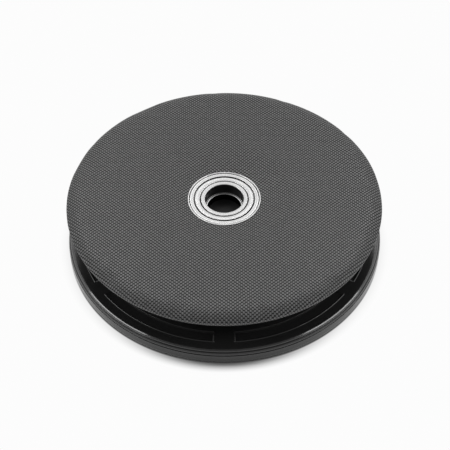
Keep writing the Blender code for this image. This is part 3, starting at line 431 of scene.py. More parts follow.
shared = {
    "weave": makeThreadWeave(weaving),
    "grain": makeMouldedGrain(graining),
    "marks": makeTurnedMarks(turning),
    "patches": makeHandlingMarks(handling),
    "wear": makeEdgeWear(wearing),
}


# Finishes


def startFinish(p, metallic=0.0):
    made = bpy.data.materials.new(p["name"])
    made.use_nodes = True
    tree = made.node_tree
    shader = tree.nodes["Principled BSDF"]
    filled(tree, shader, Roughness=p["roughness"], Metallic=metallic, Specular_IOR_Level=p["specular"])
    return made, tree, shader, tree.nodes.new("ShaderNodeTexCoord").outputs["Object"]


def useGroup(tree, key, **values):
    node = tree.nodes.new("ShaderNodeGroup")
    node.node_tree = shared[key]
    return filled(tree, node, **values).outputs


def bump(tree, shader, height, depth, strength):
    # depth is in millimetres
    raised = placed(tree, "ShaderNodeBump", Distance=depth * milli, Strength=strength, Height=height)
    tree.links.new(raised, shader.inputs["Normal"])


def grey(level, warmth=0.0):
    return (level * (1 + warmth), level, level * (1 - warmth), 1.0)


# what every plastic has unless it says otherwise; worn edges are (radius, height, reach)
plasticLook = {
    "specular": 0.5, "warmth": 0.0, "edges": (), "patchScale": 22.0, "patchRough": (-0.05, 0.06),
    "dustShare": 0.35, "wornShare": 0.5, "wornRough": -0.02, "grainStrength": 0.6,
    "rimSoft": 0.2, "edgeSoft": 0.4, "lipSoft": 0.15,
}


def plasticFinish(own):
    p = {**plasticLook, **own}
    made, tree, shader, place = startFinish(p)
    grain = useGroup(tree, "grain", Vector=place, Scale=p["grainScale"])
    marks = useGroup(tree, "patches", Vector=place, Scale=p["patchScale"])
    colour = tone(tree, grain["Fleck"], grey(p["dark"], p["warmth"]), grey(p["light"], p["warmth"]))
    colour = tone(tree, calc(tree, "MULTIPLY", marks["Speck"], p["dustShare"]), colour, grey(p["dust"]))
    smoother, rougher = [p["roughness"] + change for change in p["patchRough"]]
    rough = smoothRamp(tree, marks["Patch"], 0.0, 1.0, smoother, rougher)
    for radius, height, reach in p["edges"]:
        worn = useGroup(tree, "wear", Vector=place, Edge_Radius=radius * milli, Edge_Height=height * milli,
                        Reach=reach * milli)["Worn"]
        colour = tone(tree, calc(tree, "MULTIPLY", worn, p["wornShare"]), colour, grey(p["worn"]))
        rough = calc(tree, "MULTIPLY_ADD", worn, p["wornRough"], rough)
    if "polishedFrom" in p:
        # a polished rim, a fainter polish below it, and polished raised lips
        radius, height = radiusOf(tree, place)
        rim = lengthRamp(tree, radius, p["polishedFrom"] - p["rimSoft"], p["polishedFrom"] + p["rimSoft"])
        low, high = p["edgeFrom"] - p["edgeSoft"], p["edgeFrom"] + p["edgeSoft"]
        upper = lengthRamp(tree, height, low, high, p["bandPolish"], 1.0)
        raised = lengthRamp(tree, height, p["lipFrom"], p["lipFrom"] + p["lipSoft"])
        coat = calc(tree, "MAXIMUM", calc(tree, "MULTIPLY", rim, upper), raised)
        filled(tree, shader, Coat_Weight=coat, Coat_Roughness=p["polish"])
    filled(tree, shader, Base_Color=colour, Roughness=rough)
    bump(tree, shader, grain["Height"], p["grainDepth"], p["grainStrength"])
    return made


# what every metal has unless it says otherwise
steelLook = {
    "specular": 0.5, "patchScale": 60.0, "stainShare": 0.25, "stainRough": 0.05, "marksStrength": 0.5,
    "grooveShadeSoft": 0.5, "wallSoft": (0.25, 0.05), "wallTopSoft": 0.2, "wallRough": 0.25,
    "brightSoft": (0.1, 0.05),
}


def steelFinish(own):
    # turned metal, which may be painted darker low down as painted shade in its grooves, may have its bore
    # wall painted dark as painted shade, or may have edges rubbed bright
    p = {**steelLook, **own}
    made, tree, shader, place = startFinish(p, 1.0)
    marks = useGroup(tree, "marks", Vector=place, Pitch=p["pitch"] * milli)
    patch = useGroup(tree, "patches", Vector=place, Scale=p["patchScale"])["Patch"]
    radius, height = radiusOf(tree, place)
    colour = tone(tree, marks["Ring"], p["dark"], p["light"])
    colour = tone(tree, calc(tree, "MULTIPLY", patch, p["stainShare"]), colour, p["stain"])
    rough = calc(tree, "MULTIPLY_ADD", marks["Ring"], p["roughSpread"], p["roughness"] - p["roughSpread"] / 2)
    rough = calc(tree, "MULTIPLY_ADD", patch, p["stainRough"], rough)
    # painted shade: below the bearing's face, in its grooves, the colour is darkened
    if "grooveShade" in p:
        deep = lengthRamp(tree, height, p["grooveShadeBelow"], p["grooveShadeBelow"] - p["grooveShadeSoft"])
        colour = tone(tree, deep, colour, p["grooveShade"])
    # painted shade: the bore wall, inside its radius and below its top, is darkened
    if "wall" in p:
        inside = lengthRamp(tree, radius, *[p["wallRadius"] + soft for soft in p["wallSoft"]])
        below = lengthRamp(tree, height, p["wallTop"], p["wallTop"] - p["wallTopSoft"])
        wall = calc(tree, "MULTIPLY", inside, below)
        colour = tone(tree, wall, colour, p["wall"])
        rough = calc(tree, "MULTIPLY_ADD", wall, p["wallRough"], p["roughness"])
    if "rubbed" in p:
        upSoft, sideSoft = p["brightSoft"]
        upper = lengthRamp(tree, height, p["brightFrom"], p["brightFrom"] + upSoft)
        inner = lengthRamp(tree, radius, p["innerTo"] + sideSoft, p["innerTo"])
        outer = lengthRamp(tree, radius, p["outerFrom"], p["outerFrom"] + sideSoft, 0.0, p["outerShare"])
        bright = calc(tree, "MULTIPLY", calc(tree, "MAXIMUM", inner, outer), upper)
        colour = tone(tree, bright, colour, p["rubbed"])
    filled(tree, shader, Base_Color=colour, Roughness=rough)
    bump(tree, shader, marks["Height"], p["depth"], p["marksStrength"])
    return made


def clothFinish(p):
    made, tree, shader, _ = startFinish(p)
    threads = tree.nodes.new("ShaderNodeUVMap")
    threads.uv_map = "threadMap"
    vector = threads.outputs[0]
    warp, weft = p["pitch"]
    weave = useGroup(tree, "weave", Vector=vector, Warp_Pitch=warp * milli, Weft_Pitch=weft * milli,
                     Slub=p["slub"] * milli)
    fade = useGroup(tree, "patches", Vector=vector, Scale=p["fadeScale"])
    shade = tone(tree, weave["Dye"], *[grey(level) for level in p["warp"]])
    shade = tone(tree, weave["Warp"], grey(p["weft"]), shade)
    # painted shade: the low sides of the threads and the gaps between them are near black
    shade = tone(tree, weave["Crown"], grey(p["gap"]), shade)
    pale = smoothRamp(tree, weave["Fibre"], *p["fibreEnds"], 0.0, p["fibreShare"])
    shade = tone(tree, calc(tree, "MULTIPLY", pale, weave["Warp"]), shade, grey(p["fibre"]))
    shade = tone(tree, calc(tree, "MULTIPLY", fade["Patch"], p["fadeShare"]), shade, grey(p["faded"]))
    raised = calc(tree, "MULTIPLY", weave["Crown"], weave["Warp"])
    rough = smoothRamp(tree, raised, 0.0, 1.0, p["matt"], p["roughness"])
    filled(tree, shader, Base_Color=shade, Roughness=rough)
    bump(tree, shader, weave["Height"], p["depth"], p["strength"])
    return made


def foamFinish(p):
    made, tree, shader, place = startFinish(p)
    cells = useGroup(tree, "grain", Vector=place, Scale=p["cellScale"])
    patches = useGroup(tree, "patches", Vector=place, Scale=p["patchScale"])
    colour = tone(tree, cells["Fleck"], p["dark"], p["light"])
    colour = tone(tree, calc(tree, "MULTIPLY", patches["Patch"], p["agedShare"]), colour, p["aged"])
    filled(tree, shader, Base_Color=colour)
    bump(tree, shader, cells["Height"], p["depth"], p["strength"])
    return made


polished = {
    "roughness": 0.21, "roughSpread": 0.06, "pitch": 2.2, "depth": 0.0015,
    "dark": grey(0.65), "light": grey(0.77), "stain": (0.68, 0.675, 0.665, 1),
    # below the bearing's face the colour is darkened, as painted shade in the grooves
    "grooveShadeBelow": 77.65, "grooveShade": grey(0.10),
}
finishes = {
    "cloth": clothFinish({
        "name": "wovenCloth", "pitch": (2.62, 2.41), "slub": 1.9, "depth": 0.11, "strength": 0.8,
        "roughness": 0.38, "matt": 0.85, "specular": 0.55,
        # gap is the painted shade colour of the thread sides and of the gaps between threads
        "weft": 0.002, "warp": (0.107, 0.150), "gap": 0.002, "fibre": 0.11, "fibreEnds": (0.30, 0.75),
        "fibreShare": 0.35, "faded": 0.06, "fadeScale": 9.0, "fadeShare": 0.06,
    }),
    "thread": plasticFinish({
        "name": "hemThread", "roughness": 0.6, "dark": 0.05, "light": 0.09, "dust": 0.2, "worn": 0.1,
        "grainScale": 2500.0, "grainDepth": 0.05,
    }),
    "foam": foamFinish({
        "name": "padFoam", "roughness": 0.95, "specular": 0.2,
        "cellScale": 900.0, "depth": 0.6, "strength": 0.9,
        "dark": (0.40, 0.38, 0.32, 1), "light": (0.66, 0.64, 0.56, 1),
        "aged": (0.60, 0.52, 0.34, 1), "agedShare": 0.3, "patchScale": 14.0,
    }),
    "base": plasticFinish({
        "name": "blackPlastic", "roughness": 0.17, "specular": 0.38,
        "dark": 0.018, "light": 0.026, "dust": 0.08, "worn": 0.07,
        "polishedFrom": 201.3, "edgeFrom": 20.9, "bandPolish": 0.05, "lipFrom": 23.05, "polish": 0.08,
        "grainScale": 1500.0, "grainDepth": 0.03, "edges": [(201.6, 22.7, 1.4), (205.4, 14.4, 1.0)],
    }),
    "plug": plasticFinish({
        "name": "mattBlackPlastic", "roughness": 0.5, "specular": 0.2,
        "dark": 0.018, "light": 0.025, "dust": 0.03, "worn": 0.03, "grainScale": 900.0, "grainDepth": 0.05,
    }),
    "board": plasticFinish({
        "name": "boardPlastic", "roughness": 0.55, "dark": 0.022, "light": 0.036, "dust": 0.12, "worn": 0.06,
        "grainScale": 900.0, "grainDepth": 0.08,
    }),
    "steel": steelFinish({"name": "polishedSteel", **polished}),
    "innerRace": steelFinish({
        # the bore wall above the spindle is painted dark grey, as painted shade inside the bore
        "name": "innerRaceSteel", **polished, "wallRadius": 25.0, "wallTop": 77.6, "wall": grey(0.11),
    }),
    "ball": steelFinish({
        "name": "ballSteel", "roughness": 0.10, "roughSpread": 0.03, "pitch": 3.0, "depth": 0.002,
        "dark": grey(0.78), "light": grey(0.86), "stain": (0.74, 0.74, 0.73, 1),
    }),
    "race": steelFinish({
        "name": "raceSteel", "roughness": 0.30, "roughSpread": 0.12, "pitch": 0.6, "depth": 0.03,
        "dark": grey(0.46), "light": grey(0.62), "stain": (0.40, 0.36, 0.30, 1),
    }),
    "brass": steelFinish({
        "name": "cageBrass", "roughness": 0.32, "roughSpread": 0.10, "pitch": 0.5, "depth": 0.02,
        "dark": (0.58, 0.40, 0.17, 1), "light": (0.76, 0.56, 0.27, 1), "stain": (0.42, 0.27, 0.12, 1),
    }),
    "zinc": steelFinish({
        "name": "zincPlate", "roughness": 0.38, "roughSpread": 0.12, "pitch": 0.4, "depth": 0.02,
        "dark": (0.50, 0.51, 0.53, 1), "light": (0.64, 0.65, 0.66, 1), "stain": (0.58, 0.56, 0.44, 1),
    }),
    "blackened": steelFinish({
        "name": "blackenedSteel", "roughness": 0.34, "roughSpread": 0.10, "pitch": 0.4, "depth": 0.02,
        "dark": grey(0.018), "light": grey(0.035), "stain": (0.06, 0.05, 0.045, 1),
    }),
    "spindle": steelFinish({
        "name": "spindleSteel", "roughness": 0.28, "roughSpread": 0.10, "pitch": 0.35, "depth": 0.02,
        "dark": grey(0.006), "light": grey(0.012), "stain": (0.03, 0.025, 0.02, 1), "rubbed": grey(0.97),
        "brightFrom": 62.25, "innerTo": 23.15, "outerFrom": 24.2, "outerShare": 0.75,
    }),
    "cagePlastic": plasticFinish({
        "name": "cagePlastic", "roughness": 0.45, "warmth": 0.04,
        "dark": 0.60, "light": 0.70, "dust": 0.50, "worn": 0.75, "grainScale": 700.0, "grainDepth": 0.04,
    }),
    "rubber": plasticFinish({
        "name": "footRubber", "roughness": 0.82, "specular": 0.3,
        "dark": 0.012, "light": 0.024, "dust": 0.14, "worn": 0.05, "grainScale": 1100.0, "grainDepth": 0.10,
    }),
}
print("finishes ready:", len(finishes))


# Node trees for turned pieces and for rings of copies


def newTree(name, takes):
    tree, given, made = newGroup(name, "GeometryNodeTree", takes, {"Geometry": "Geometry"})
    tree.is_modifier = True
    return tree, given, made


def endTree(tree, given, made, shape):
    real = placed(tree, "GeometryNodeRealizeInstances", Geometry=shape)
    coated = placed(tree, "GeometryNodeSetMaterial", Geometry=real, Material=given["Finish"])
    return endGroup(tree, made, Geometry=coated)


def makeTurnedTree():
    # an outline drawn in the XZ plane, swept round the Z axis
    tree, given, made = newTree(
        "turnedOutline", {"Outline": "Geometry", "Sides": "Int", "Path Radius": "Float", "Finish": "Material"}
    )
    x, _, z = parted(tree, placed(tree, "GeometryNodeInputPosition"))
    laid = joined(tree, calc(tree, "SUBTRACT", x, given["Path Radius"]), calc(tree, "MULTIPLY", z, -1.0))
    moved = placed(tree, "GeometryNodeSetPosition", Geometry=given["Outline"], Position=laid)
    line = placed(tree, "GeometryNodeMeshToCurve", Mesh=moved)
    path = placed(tree, "GeometryNodeCurvePrimitiveCircle",
                  Resolution=given["Sides"], Radius=given["Path Radius"])
    swept = placed(tree, "GeometryNodeCurveToMesh", Curve=path, Profile_Curve=line)
    weld = placed(tree, "GeometryNodeMergeByDistance", Geometry=swept, Distance=1e-6)
    return endTree(tree, given, made, weld)


def makeRingTree():
    # copies of one small part, evenly placed on a circle and turned to face outwards
    tree, given, made = newTree("ringOfCopies", {
        "Part": "Geometry", "Count": "Int", "Ring Radius": "Float", "Height": "Float", "First Angle": "Float",
        "Step Angle": "Float", "Loose Spin": "Float", "Seed": "Int", "Finish": "Material",
    })
    row = placed(tree, "GeometryNodeMeshLine", Count=given["Count"])
    index = placed(tree, "GeometryNodeInputIndex")
    angle = calc(tree, "MULTIPLY_ADD", index, given["Step Angle"], given["First Angle"])
    x, y = [
        calc(tree, "MULTIPLY", calc(tree, wave, angle), given["Ring Radius"]) for wave in ("COSINE", "SINE")
    ]
    spot = joined(tree, x, y, given["Height"])
    moved = placed(tree, "GeometryNodeSetPosition", Geometry=row, Position=spot)
    loose = tree.nodes.new("FunctionNodeRandomValue")
    loose.data_type = "FLOAT"
    tree.links.new(given["Loose Spin"], loose.inputs[3])
    tree.links.new(given["Seed"], loose.inputs["Seed"])
    facing = joined(tree, 0.0, 0.0, calc(tree, "ADD", angle, loose.outputs[1]))
    copies = placed(tree, "GeometryNodeInstanceOnPoints",
                    Points=moved, Instance=given["Part"], Rotation=facing)
    return endTree(tree, given, made, copies)


trees = {"turned": makeTurnedTree(), "ring": makeRingTree()}


# Ways to make, join and hand over shapes


def grow(obj, key, values):
    # runs a node tree on an object and returns the result as a plain mesh
    tree = trees[key]
    names = {item.name: item.identifier for item in tree.interface.items_tree if item.in_out == "INPUT"}
    step = obj.modifiers.new(key, "NODES")
    step.node_group = tree
    for label, value in values.items():
        step[names[label]] = value
    return settled(obj)


def settled(obj):
    # the object's evaluated mesh, with its modifiers gone
    graph = bpy.context.evaluated_depsgraph_get()
    mesh = bpy.data.meshes.new_from_object(obj.evaluated_get(graph), depsgraph=graph)
    obj.modifiers.clear()
    return mesh


def added(name, mesh):
    obj = bpy.data.objects.new(name, mesh)
    scene.collection.objects.link(obj)
    return obj


def dropped(obj):
    bpy.data.objects.remove(obj, do_unlink=True)


def smoothed(mesh, sharp=35):
    # welds, turns the faces outwards and shades them
    bm = bmesh.new()
    bm.from_mesh(mesh)
    bmesh.ops.remove_doubles(bm, verts=bm.verts, dist=1e-6)
    bmesh.ops.recalc_face_normals(bm, faces=bm.faces)
    bm.to_mesh(mesh)
    bm.free()
    mesh.shade_smooth()
    mesh.set_sharp_from_angle(angle=radians(sharp))
    return mesh


rounding = {
    "mostReach": 0.46,  # of the shorter line beside a corner
    "straight": 0.02,  # corners flatter than this stay as they are
    "stepAngle": 20,
    "lineBeside": (0.5, 0.3),  # of the fillet, and of the line that is left
}


def rounded(corners, closed=True):
    # rounds each (radius, height, fillet) corner of an outline, with a close line beside each fillet
    points = []
    count = len(corners)
    for i, corner in enumerate(corners):
        here = Vector(corner[:2])
        fillet = corner[2] if len(corner) > 2 else 0.0
        if not fillet or not (closed or 0 < i < count - 1):
            points.append(tuple(here))
            continue
        back = Vector(corners[i - 1][:2]) - here
        ahead = Vector(corners[(i + 1) % count][:2]) - here
        shorter = min(back.length, ahead.length)
        back.normalize()
        ahead.normalize()
        between = acos(max(-1.0, min(1.0, back.dot(ahead))))
        if between > pi - rounding["straight"]:
            points.append(tuple(here))
            continue
        run = min(fillet / tan(between / 2), rounding["mostReach"] * shorter)
        fillet = run * tan(between / 2)
        middle = here + (back + ahead).normalized() * (fillet / sin(between / 2))
        start, end = here + back * run - middle, here + ahead * run - middle
        first = atan2(start.y, start.x)
        swing = (atan2(end.y, end.x) - first + pi) % (2 * pi) - pi
        steps = max(2, ceil(abs(swing) / radians(rounding["stepAngle"])))
        turns = [first + swing * s / steps for s in range(steps + 1)]
        arc = [middle + Vector((cos(turn), sin(turn))) * fillet for turn in turns]
        ofFillet, ofLine = rounding["lineBeside"]
        beside = min(ofFillet * fillet, ofLine * (shorter - run))
        points.append(tuple(arc[0] + back * beside))
        points += [tuple(p) for p in arc]
        points.append(tuple(arc[-1] + ahead * beside))
    return points


def turnedPiece(name, corners, finish, sides=160, sharp=35):
    # a closed outline of corners, rounded and swept round the axis
    points = rounded(corners)
    count = len(points)
    pairs = [(i, (i + 1) % count) for i in range(count)]
    edges = [(i, j) for i, j in pairs if points[i][0] > 0 or points[j][0] > 0]
    mesh = bpy.data.meshes.new(name)
    mesh.from_pydata([(r * milli, 0, z * milli) for r, z in points], edges, [])
    drawn = added(name + "Outline", mesh)
    swept = grow(drawn, "turned", {"Sides": sides, "Path Radius": 0.1, "Finish": finish})
    dropped(drawn)
    return added(name, smoothed(swept, sharp))


def ringPiece(name, part, finish, count, radius, height, first=0.0, step=None, spin=0.0, seed=1):
    # angles are counted from the front of the seat, in degrees
    mesh = grow(part, "ring", {
        "Count": count, "Ring Radius": radius * milli, "Height": height * milli,
        "First Angle": radians(first) - pi / 2, "Step Angle": radians(step or 360 / count),
        "Loose Spin": radians(spin), "Seed": seed, "Finish": finish,
    })
    dropped(part)
    mesh.name = name
    return added(name, mesh)


def shaped(obj, tool, operation):
    # cuts or joins with another object, which is used up
    step = obj.modifiers.new("shape", "BOOLEAN")
    step.operation, step.object, step.solver = operation, tool, "EXACT"
    old = obj.data
    obj.data = settled(obj)
    bpy.data.meshes.remove(old)
    dropped(tool)
    smoothed(obj.data)
    return obj


def loft(name, rows, sharp=35):
    # rows of points in millimetres, joined one to the next and closed at both ends
    bm = bmesh.new()
    rings = [[bm.verts.new((x * milli, y * milli, z * milli)) for x, y, z in row] for row in rows]
    for low, high in zip(rings, rings[1:]):
        for i in range(len(low)):
            j = (i + 1) % len(low)
            bm.faces.new((low[i], low[j], high[j], high[i]))
    bm.faces.new(rings[0][::-1])
    bm.faces.new(rings[-1])
    mesh = bpy.data.meshes.new(name)
    bm.to_mesh(mesh)
    bm.free()
    return added(name, smoothed(mesh, sharp))


def barShape(name, length, thick, low, high):
    # a straight rib with a rounded lower edge, lying along +X
    half, soft = thick / 2, min(0.5, thick / 4)
    side = [(half - soft, low), (half, low + soft), (half, high)]
    section = [(-y, z) for y, z in side[::-1]] + side
    return loft(name, [[(x, y, z) for y, z in section] for x in (0.0, length)])


def postShape(name, radius, low, high, soft=0.4):
    return turnedPiece(name, [(0, high), (radius, high, 0.0), (radius, low, soft), (0, low)], None, sides=32)


def fitted(obj, body, slot, *nodes):
    # a finished piece rides on its body and stands for its nodes
    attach(obj, body)
    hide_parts(*nodes)
    return obj


def numbered(stem, count):
    return [f"{stem}_{i}" for i in range(1, count + 1)]


def unit(value):
    return max(0.0, min(1.0, value))


def eased(value):
    return value * value * (3 - 2 * value)


# Black base: cover with six arc-shaped recesses, and the pan under it

cover = {
    "deck": 23.0,
    # the tower in the middle, the inside of the shell, and its side with the groove and the bead
    "tower": [(98.0, 38.5, 2.5), (73.7, 38.5, 0.3), (73.7, 40.5, 0.5), (29.5, 40.5, 0.5), (29.5, 34.5, 0.4)],
    "towerFoot": (108.0, 5.0),  # its radius and fillet
    "inside": [(95.5, 34.5, 1.2), (105.5, 20.5, 2.0), (172.0, 20.5, 0.6), (172.0, 18.5, 0.6),
               (191.9, 18.5, 0.6), (191.9, 20.5, 0.6), (202.2, 20.5, 1.0), (202.2, 15.4, 0.2)],
    "side": [(204.5, 15.4, 0.2), (205.0, 15.9, 0.3), (205.2, 17.6, 1.4), (204.5, 19.9, 0.6),
             (203.5, 20.2, 0.15), (203.0, 20.55, 0.15)],
    "edge": 203.1,
    "edgeRadius": 2.8,  # a rounded edge with a flat bevel between these two runs of angles
    "edgeAngles": ((4, 14, 24, 33, 38, 40), (72, 74, 79, 84, 90)),
    "bevelLines": (0.1, 0.5, 0.9),
    "recess": (174.5, 189.4),
    "recessDepth": 2.0,
    "recessCorner": 2.2,
    "recessWalls": (0.8, 5.0),  # how wide the slope down is at the sides and at the ends
    "endsFrom": (0.6, 1.6),  # where the sides give way to the ends, and over how far
    "lipHeights": (0.45, 0.75, 0.0),  # a fine raised lip along each recess's inner side, outer side and ends
    "lipHalf": 0.75,
    "lipMiddle": 0.15,
    "lipRunOut": (0.4, 1.8),  # the side lips run out before the corners
    "landHalf": 11.0,
    "frontLand": 56.5,
    # lines of points over the deck: across each wall, along each recess, and on the plain parts
    "wallLines": (-0.8, -0.55, -0.4, -0.25, -0.1, 0.05, 0.2, 0.35, 0.5, 0.65, 0.8, 1.0, 1.6, 2.2),
    "sideWallLines": (3.4, 4.8),
    "endWallLines": (3.2, 4.2),
    "landLines": (0.3, 0.6, 0.85),
    "recessLines": 18,
    "middleLine": 182.0,
    "outerLines": (199.8, 198.0, 194.0),
    "innerLines": (171.0, 167.0),
    "lineBeside": 1.2,
    "deckStart": 164.0,
    "fan": (150.0, 205.0),  # the lines are radial inside and outside these radii
    "wellInside": 9.0,  # a distance into a recess that is past its walls
}


def landAngles(c):
    rear = (180 + c["frontLand"]) / 2
    return [radians(a) for a in (0, c["frontLand"], rear, 180, 360 - rear, 360 - c["frontLand"])]


def coverColumns(c):
    # each column is (how to find its angle at a radius, its distance into a recess)
    half = c["landHalf"]
    steps = c["wallLines"] + c["endWallLines"]
    right = [half * s for s in c["landLines"]] + [half + s for s in steps]
    near = [-d for d in right[::-1]] + [0.0] + right
    lands = landAngles(c)

    def beside(land, d):
        return lambda r: land + asin(d / r)

    def between(land, following, share):
        start, end = beside(land, near[-1]), beside(following, near[0])
        return lambda r: start(r) * (1 - share) + end(r) * share

    columns = []
    for land, following in zip(lands, lands[1:] + [2 * pi]):
        columns += [(beside(land, d), abs(d) - half) for d in near]
        shares = [i / (c["recessLines"] + 1) for i in range(1, c["recessLines"] + 1)]
        columns += [(between(land, following, share), c["wellInside"]) for share in shares]
    return columns


def recessDrop(c, radius, inward):
    # how far the deck drops at a point: a recess with rounded corners, and a lip round it
    low, high = c["recess"]
    corner = c["recessCorner"]
    fromSide = min(radius - low, high - radius)
    sideways, along = corner - fromSide, corner - inward
    outside = hypot(max(sideways, 0), max(along, 0)) + min(max(sideways, along), 0) - corner
    endsFrom, endsOver = c["endsFrom"]
    atEnd = unit((fromSide - endsFrom) / endsOver) if inward < corner else 0.0
    innerLip, outerLip, endLip = c["lipHeights"]
    tall = innerLip if 2 * radius < low + high else outerLip
    runFrom, runOver = c["lipRunOut"]
    tall = (tall + (endLip - tall) * atEnd) * unit((inward - runFrom) / runOver)
    lip = unit(1 - abs(outside - c["lipMiddle"]) / c["lipHalf"])
    wall, endWall = c["recessWalls"]
    share = unit(-outside / (wall + (endWall - wall) * atEnd))
    return c["recessDepth"] * eased(share) - tall * eased(lip)


def coverOutline(c):
    # from the deck in over the tower, out under the shell, up the side, and back over the edge and recesses
    deck, soft = c["deck"], c["edgeRadius"]
    footRadius, footFillet = c["towerFoot"]
    lower = [(c["deckStart"], deck), (footRadius, deck, footFillet), *c["tower"], *c["inside"], *c["side"]]
    centre = c["edge"] - soft
    lowArc, highArc = [
        [(centre + soft * cos(radians(a)), deck - soft + soft * sin(radians(a))) for a in angles]
        for angles in c["edgeAngles"]
    ]
    (r0, z0), (r1, z1) = lowArc[-1], highArc[0]
    bevel = [(r0 + (r1 - r0) * share, z0 + (z1 - z0) * share) for share in c["bevelLines"]]
    inner, outer = c["recess"]
    steps, beside = c["wallLines"] + c["sideWallLines"], c["lineBeside"]
    top = [*c["outerLines"], outer + beside] + [outer - s for s in steps] + [c["middleLine"]]
    top += [inner + s for s in steps[::-1]] + [inner - beside, *c["innerLines"]]
    return rounded(lower, closed=False) + lowArc + bevel + highArc + [(r, deck) for r in top]


def makeBaseCover(c):
    outline, columns = coverOutline(c), coverColumns(c)
    fanFrom, fanTo = c["fan"]
    points, faces = [], []
    for radius, height in outline:
        held = min(max(radius, fanFrom), fanTo)
        onDeck = abs(height - c["deck"]) < 1e-6
        for angleAt, inward in columns:
            angle = angleAt(held)
            drop = recessDrop(c, radius, inward) if onDeck else 0.0
            x, y = radius * sin(angle), -radius * cos(angle)
            points.append((x * milli, y * milli, (height - drop) * milli))
    across, rows = len(columns), len(outline)
    for row in range(rows):
        for col in range(across):
            a, b = row * across, ((row + 1) % rows) * across
            faces.append((a + col, a + (col + 1) % across, b + (col + 1) % across, b + col))
    mesh = bpy.data.meshes.new("baseCover")
    mesh.from_pydata(points, [], faces)
    mesh.materials.append(finishes["base"])
    return added("baseCover", smoothed(mesh, 40))


fitted(makeBaseCover(cover), "base", "black_plastic", "base_cover")

pan = {
    "radius": 205.5,
    "bottom": 1.5,
    "floor": 4.0,
    "inside": 6.5,
    "hub": (29.0, 47.0),
    "hubTop": 34.2,
    "ring": (161.5, 164.0),  # the floor steps down to the edge between these
    "lipTop": 14.5,
    "lipSlope": (0.4, 0.3),
    "rim": (199.4, 201.9),
    "rimTop": 20.2,
    "ribs": {"count": 8, "first": 22.5, "thick": 2.0, "from": 44.0, "to": 164.0, "low": 1.8, "high": 5.2},
    "pillars": {"count": 6, "first": 30.0, "ring": 150.0, "radius": 6.8, "low": 1.8, "top": 12.2},
    "wells": {
        "screwWells": {"count": 6, "ring": 150.0, "radius": 4.7, "top": 6.4, "first": 30.0},
        "boltWells": {"count": 4, "ring": 38.0, "radius": 5.7, "top": 8.1, "first": 45.0},
        "footSeats": {"count": 6, "ring": 181.0, "radius": 10.4, "top": 3.0, "first": 0.0},
    },
}


def makeBasePan(p):
    edge, low, floor, inside = p["radius"], p["bottom"], p["floor"], p["inside"]
    hubIn, hubOut = p["hub"]
    ringIn, ringOut = p["ring"]
    rimIn, rimOut = p["rim"]
    slopeIn, slopeUp = p["lipSlope"]
    lipTop = p["lipTop"] + slopeUp
    obj = turnedPiece("basePan", [
        (0, floor), (hubIn, floor, 0.8), (hubIn, low, 0.5), (hubOut, low, 0.5), (hubOut, floor, 0.8),
        (ringIn, floor, 0.8), (ringOut, low, 0.8), (edge, low, 4.0), (edge, p["lipTop"], 0.2),
        (edge - slopeIn, lipTop, 0.1), (rimOut, lipTop, 0.2), (rimOut, p["rimTop"], 0.5),
        (rimIn, p["rimTop"], 0.5), (rimIn, inside, 1.0), (hubOut, inside, 1.0), (hubOut, p["hubTop"], 0.6),
        (hubIn, p["hubTop"], 0.6), (hubIn, inside, 1.0), (0, inside),
    ], finishes["base"], sides=192)
    ribs, pillars = p["ribs"], p["pillars"]
    bar = barShape("panRib", ribs["to"] - ribs["from"], ribs["thick"], ribs["low"], ribs["high"])
    bars = ringPiece("panRibs", bar, None, ribs["count"], ribs["from"], 0.0, ribs["first"])
    shaped(obj, bars, "UNION")
    post = postShape("panPillar", pillars["radius"], pillars["low"], pillars["top"])
    posts = ringPiece("panPillars", post, None, pillars["count"], pillars["ring"], 0.0, pillars["first"])
    shaped(obj, posts, "UNION")
    for label, well in p["wells"].items():
        hole = postShape(label, well["radius"], 0.0, well["top"], 0.0)
        holes = ringPiece(label, hole, None, well["count"], well["ring"], 0.0, well["first"])
        shaped(obj, holes, "DIFFERENCE")
    return obj


fitted(makeBasePan(pan), "base", "black_plastic", "base_pan")
print("base cover and pan made")

feet = {
    "height": 2.7, "count": 6, "ring": 181.0,
    # the underside, with a shallow ring pressed into it
    "sole": [(10.0, 0.0, 0.7), (7.8, 0.0, 0.2), (7.4, 0.6, 0.2), (5.8, 0.6, 0.2), (5.4, 0.0, 0.2), (0, 0.0)],
}


def makeFeet(f):
    corners = [(0, f["height"]), (f["sole"][0][0], f["height"], 0.3), *f["sole"]]
    pad = turnedPiece("footPad", corners, None, sides=48)
    return ringPiece("baseFeet", pad, finishes["rubber"], f["count"], f["ring"], 0.0)


fitted(makeFeet(feet), "base", "foot_rubber", *numbered("foot", 6))

fasteners = {
    "panScrews": {
        "nodes": "pan_screw", "body": "base", "count": 6, "ring": 150.0, "height": 3.7, "first": 30.0,
        "shank": 1.8, "length": 13.8, "head": 4.0, "headHeight": 2.4, "slot": "cross", "slotSize": 2.0,
    },
    "spindleBolts": {
        "nodes": "spindle_bolt", "body": "base", "count": 4, "ring": 38.0, "height": 2.8, "first": 45.0,
        "shank": 2.8, "length": 37.7, "head": 5.0, "headHeight": 5.0, "slot": "hex", "slotSize": 2.4,
    },
    "housingScrews": {
        "nodes": "housing_screw", "body": "seat", "count": 4, "ring": 54.5, "height": 57.4, "first": 45.0,
        "shank": 2.2, "length": 9.7, "head": 4.0, "headHeight": 2.4, "slot": "cross", "slotSize": 2.0,
    },
}
# the pitch is a share of the shank's radius
thread = {"pitch": 0.32, "leastPitch": 0.8, "depth": 0.3, "clearTop": 0.6, "clearEnd": 0.8}
slotArm = 0.30  # half the width of a cross slot's arm, of its reach


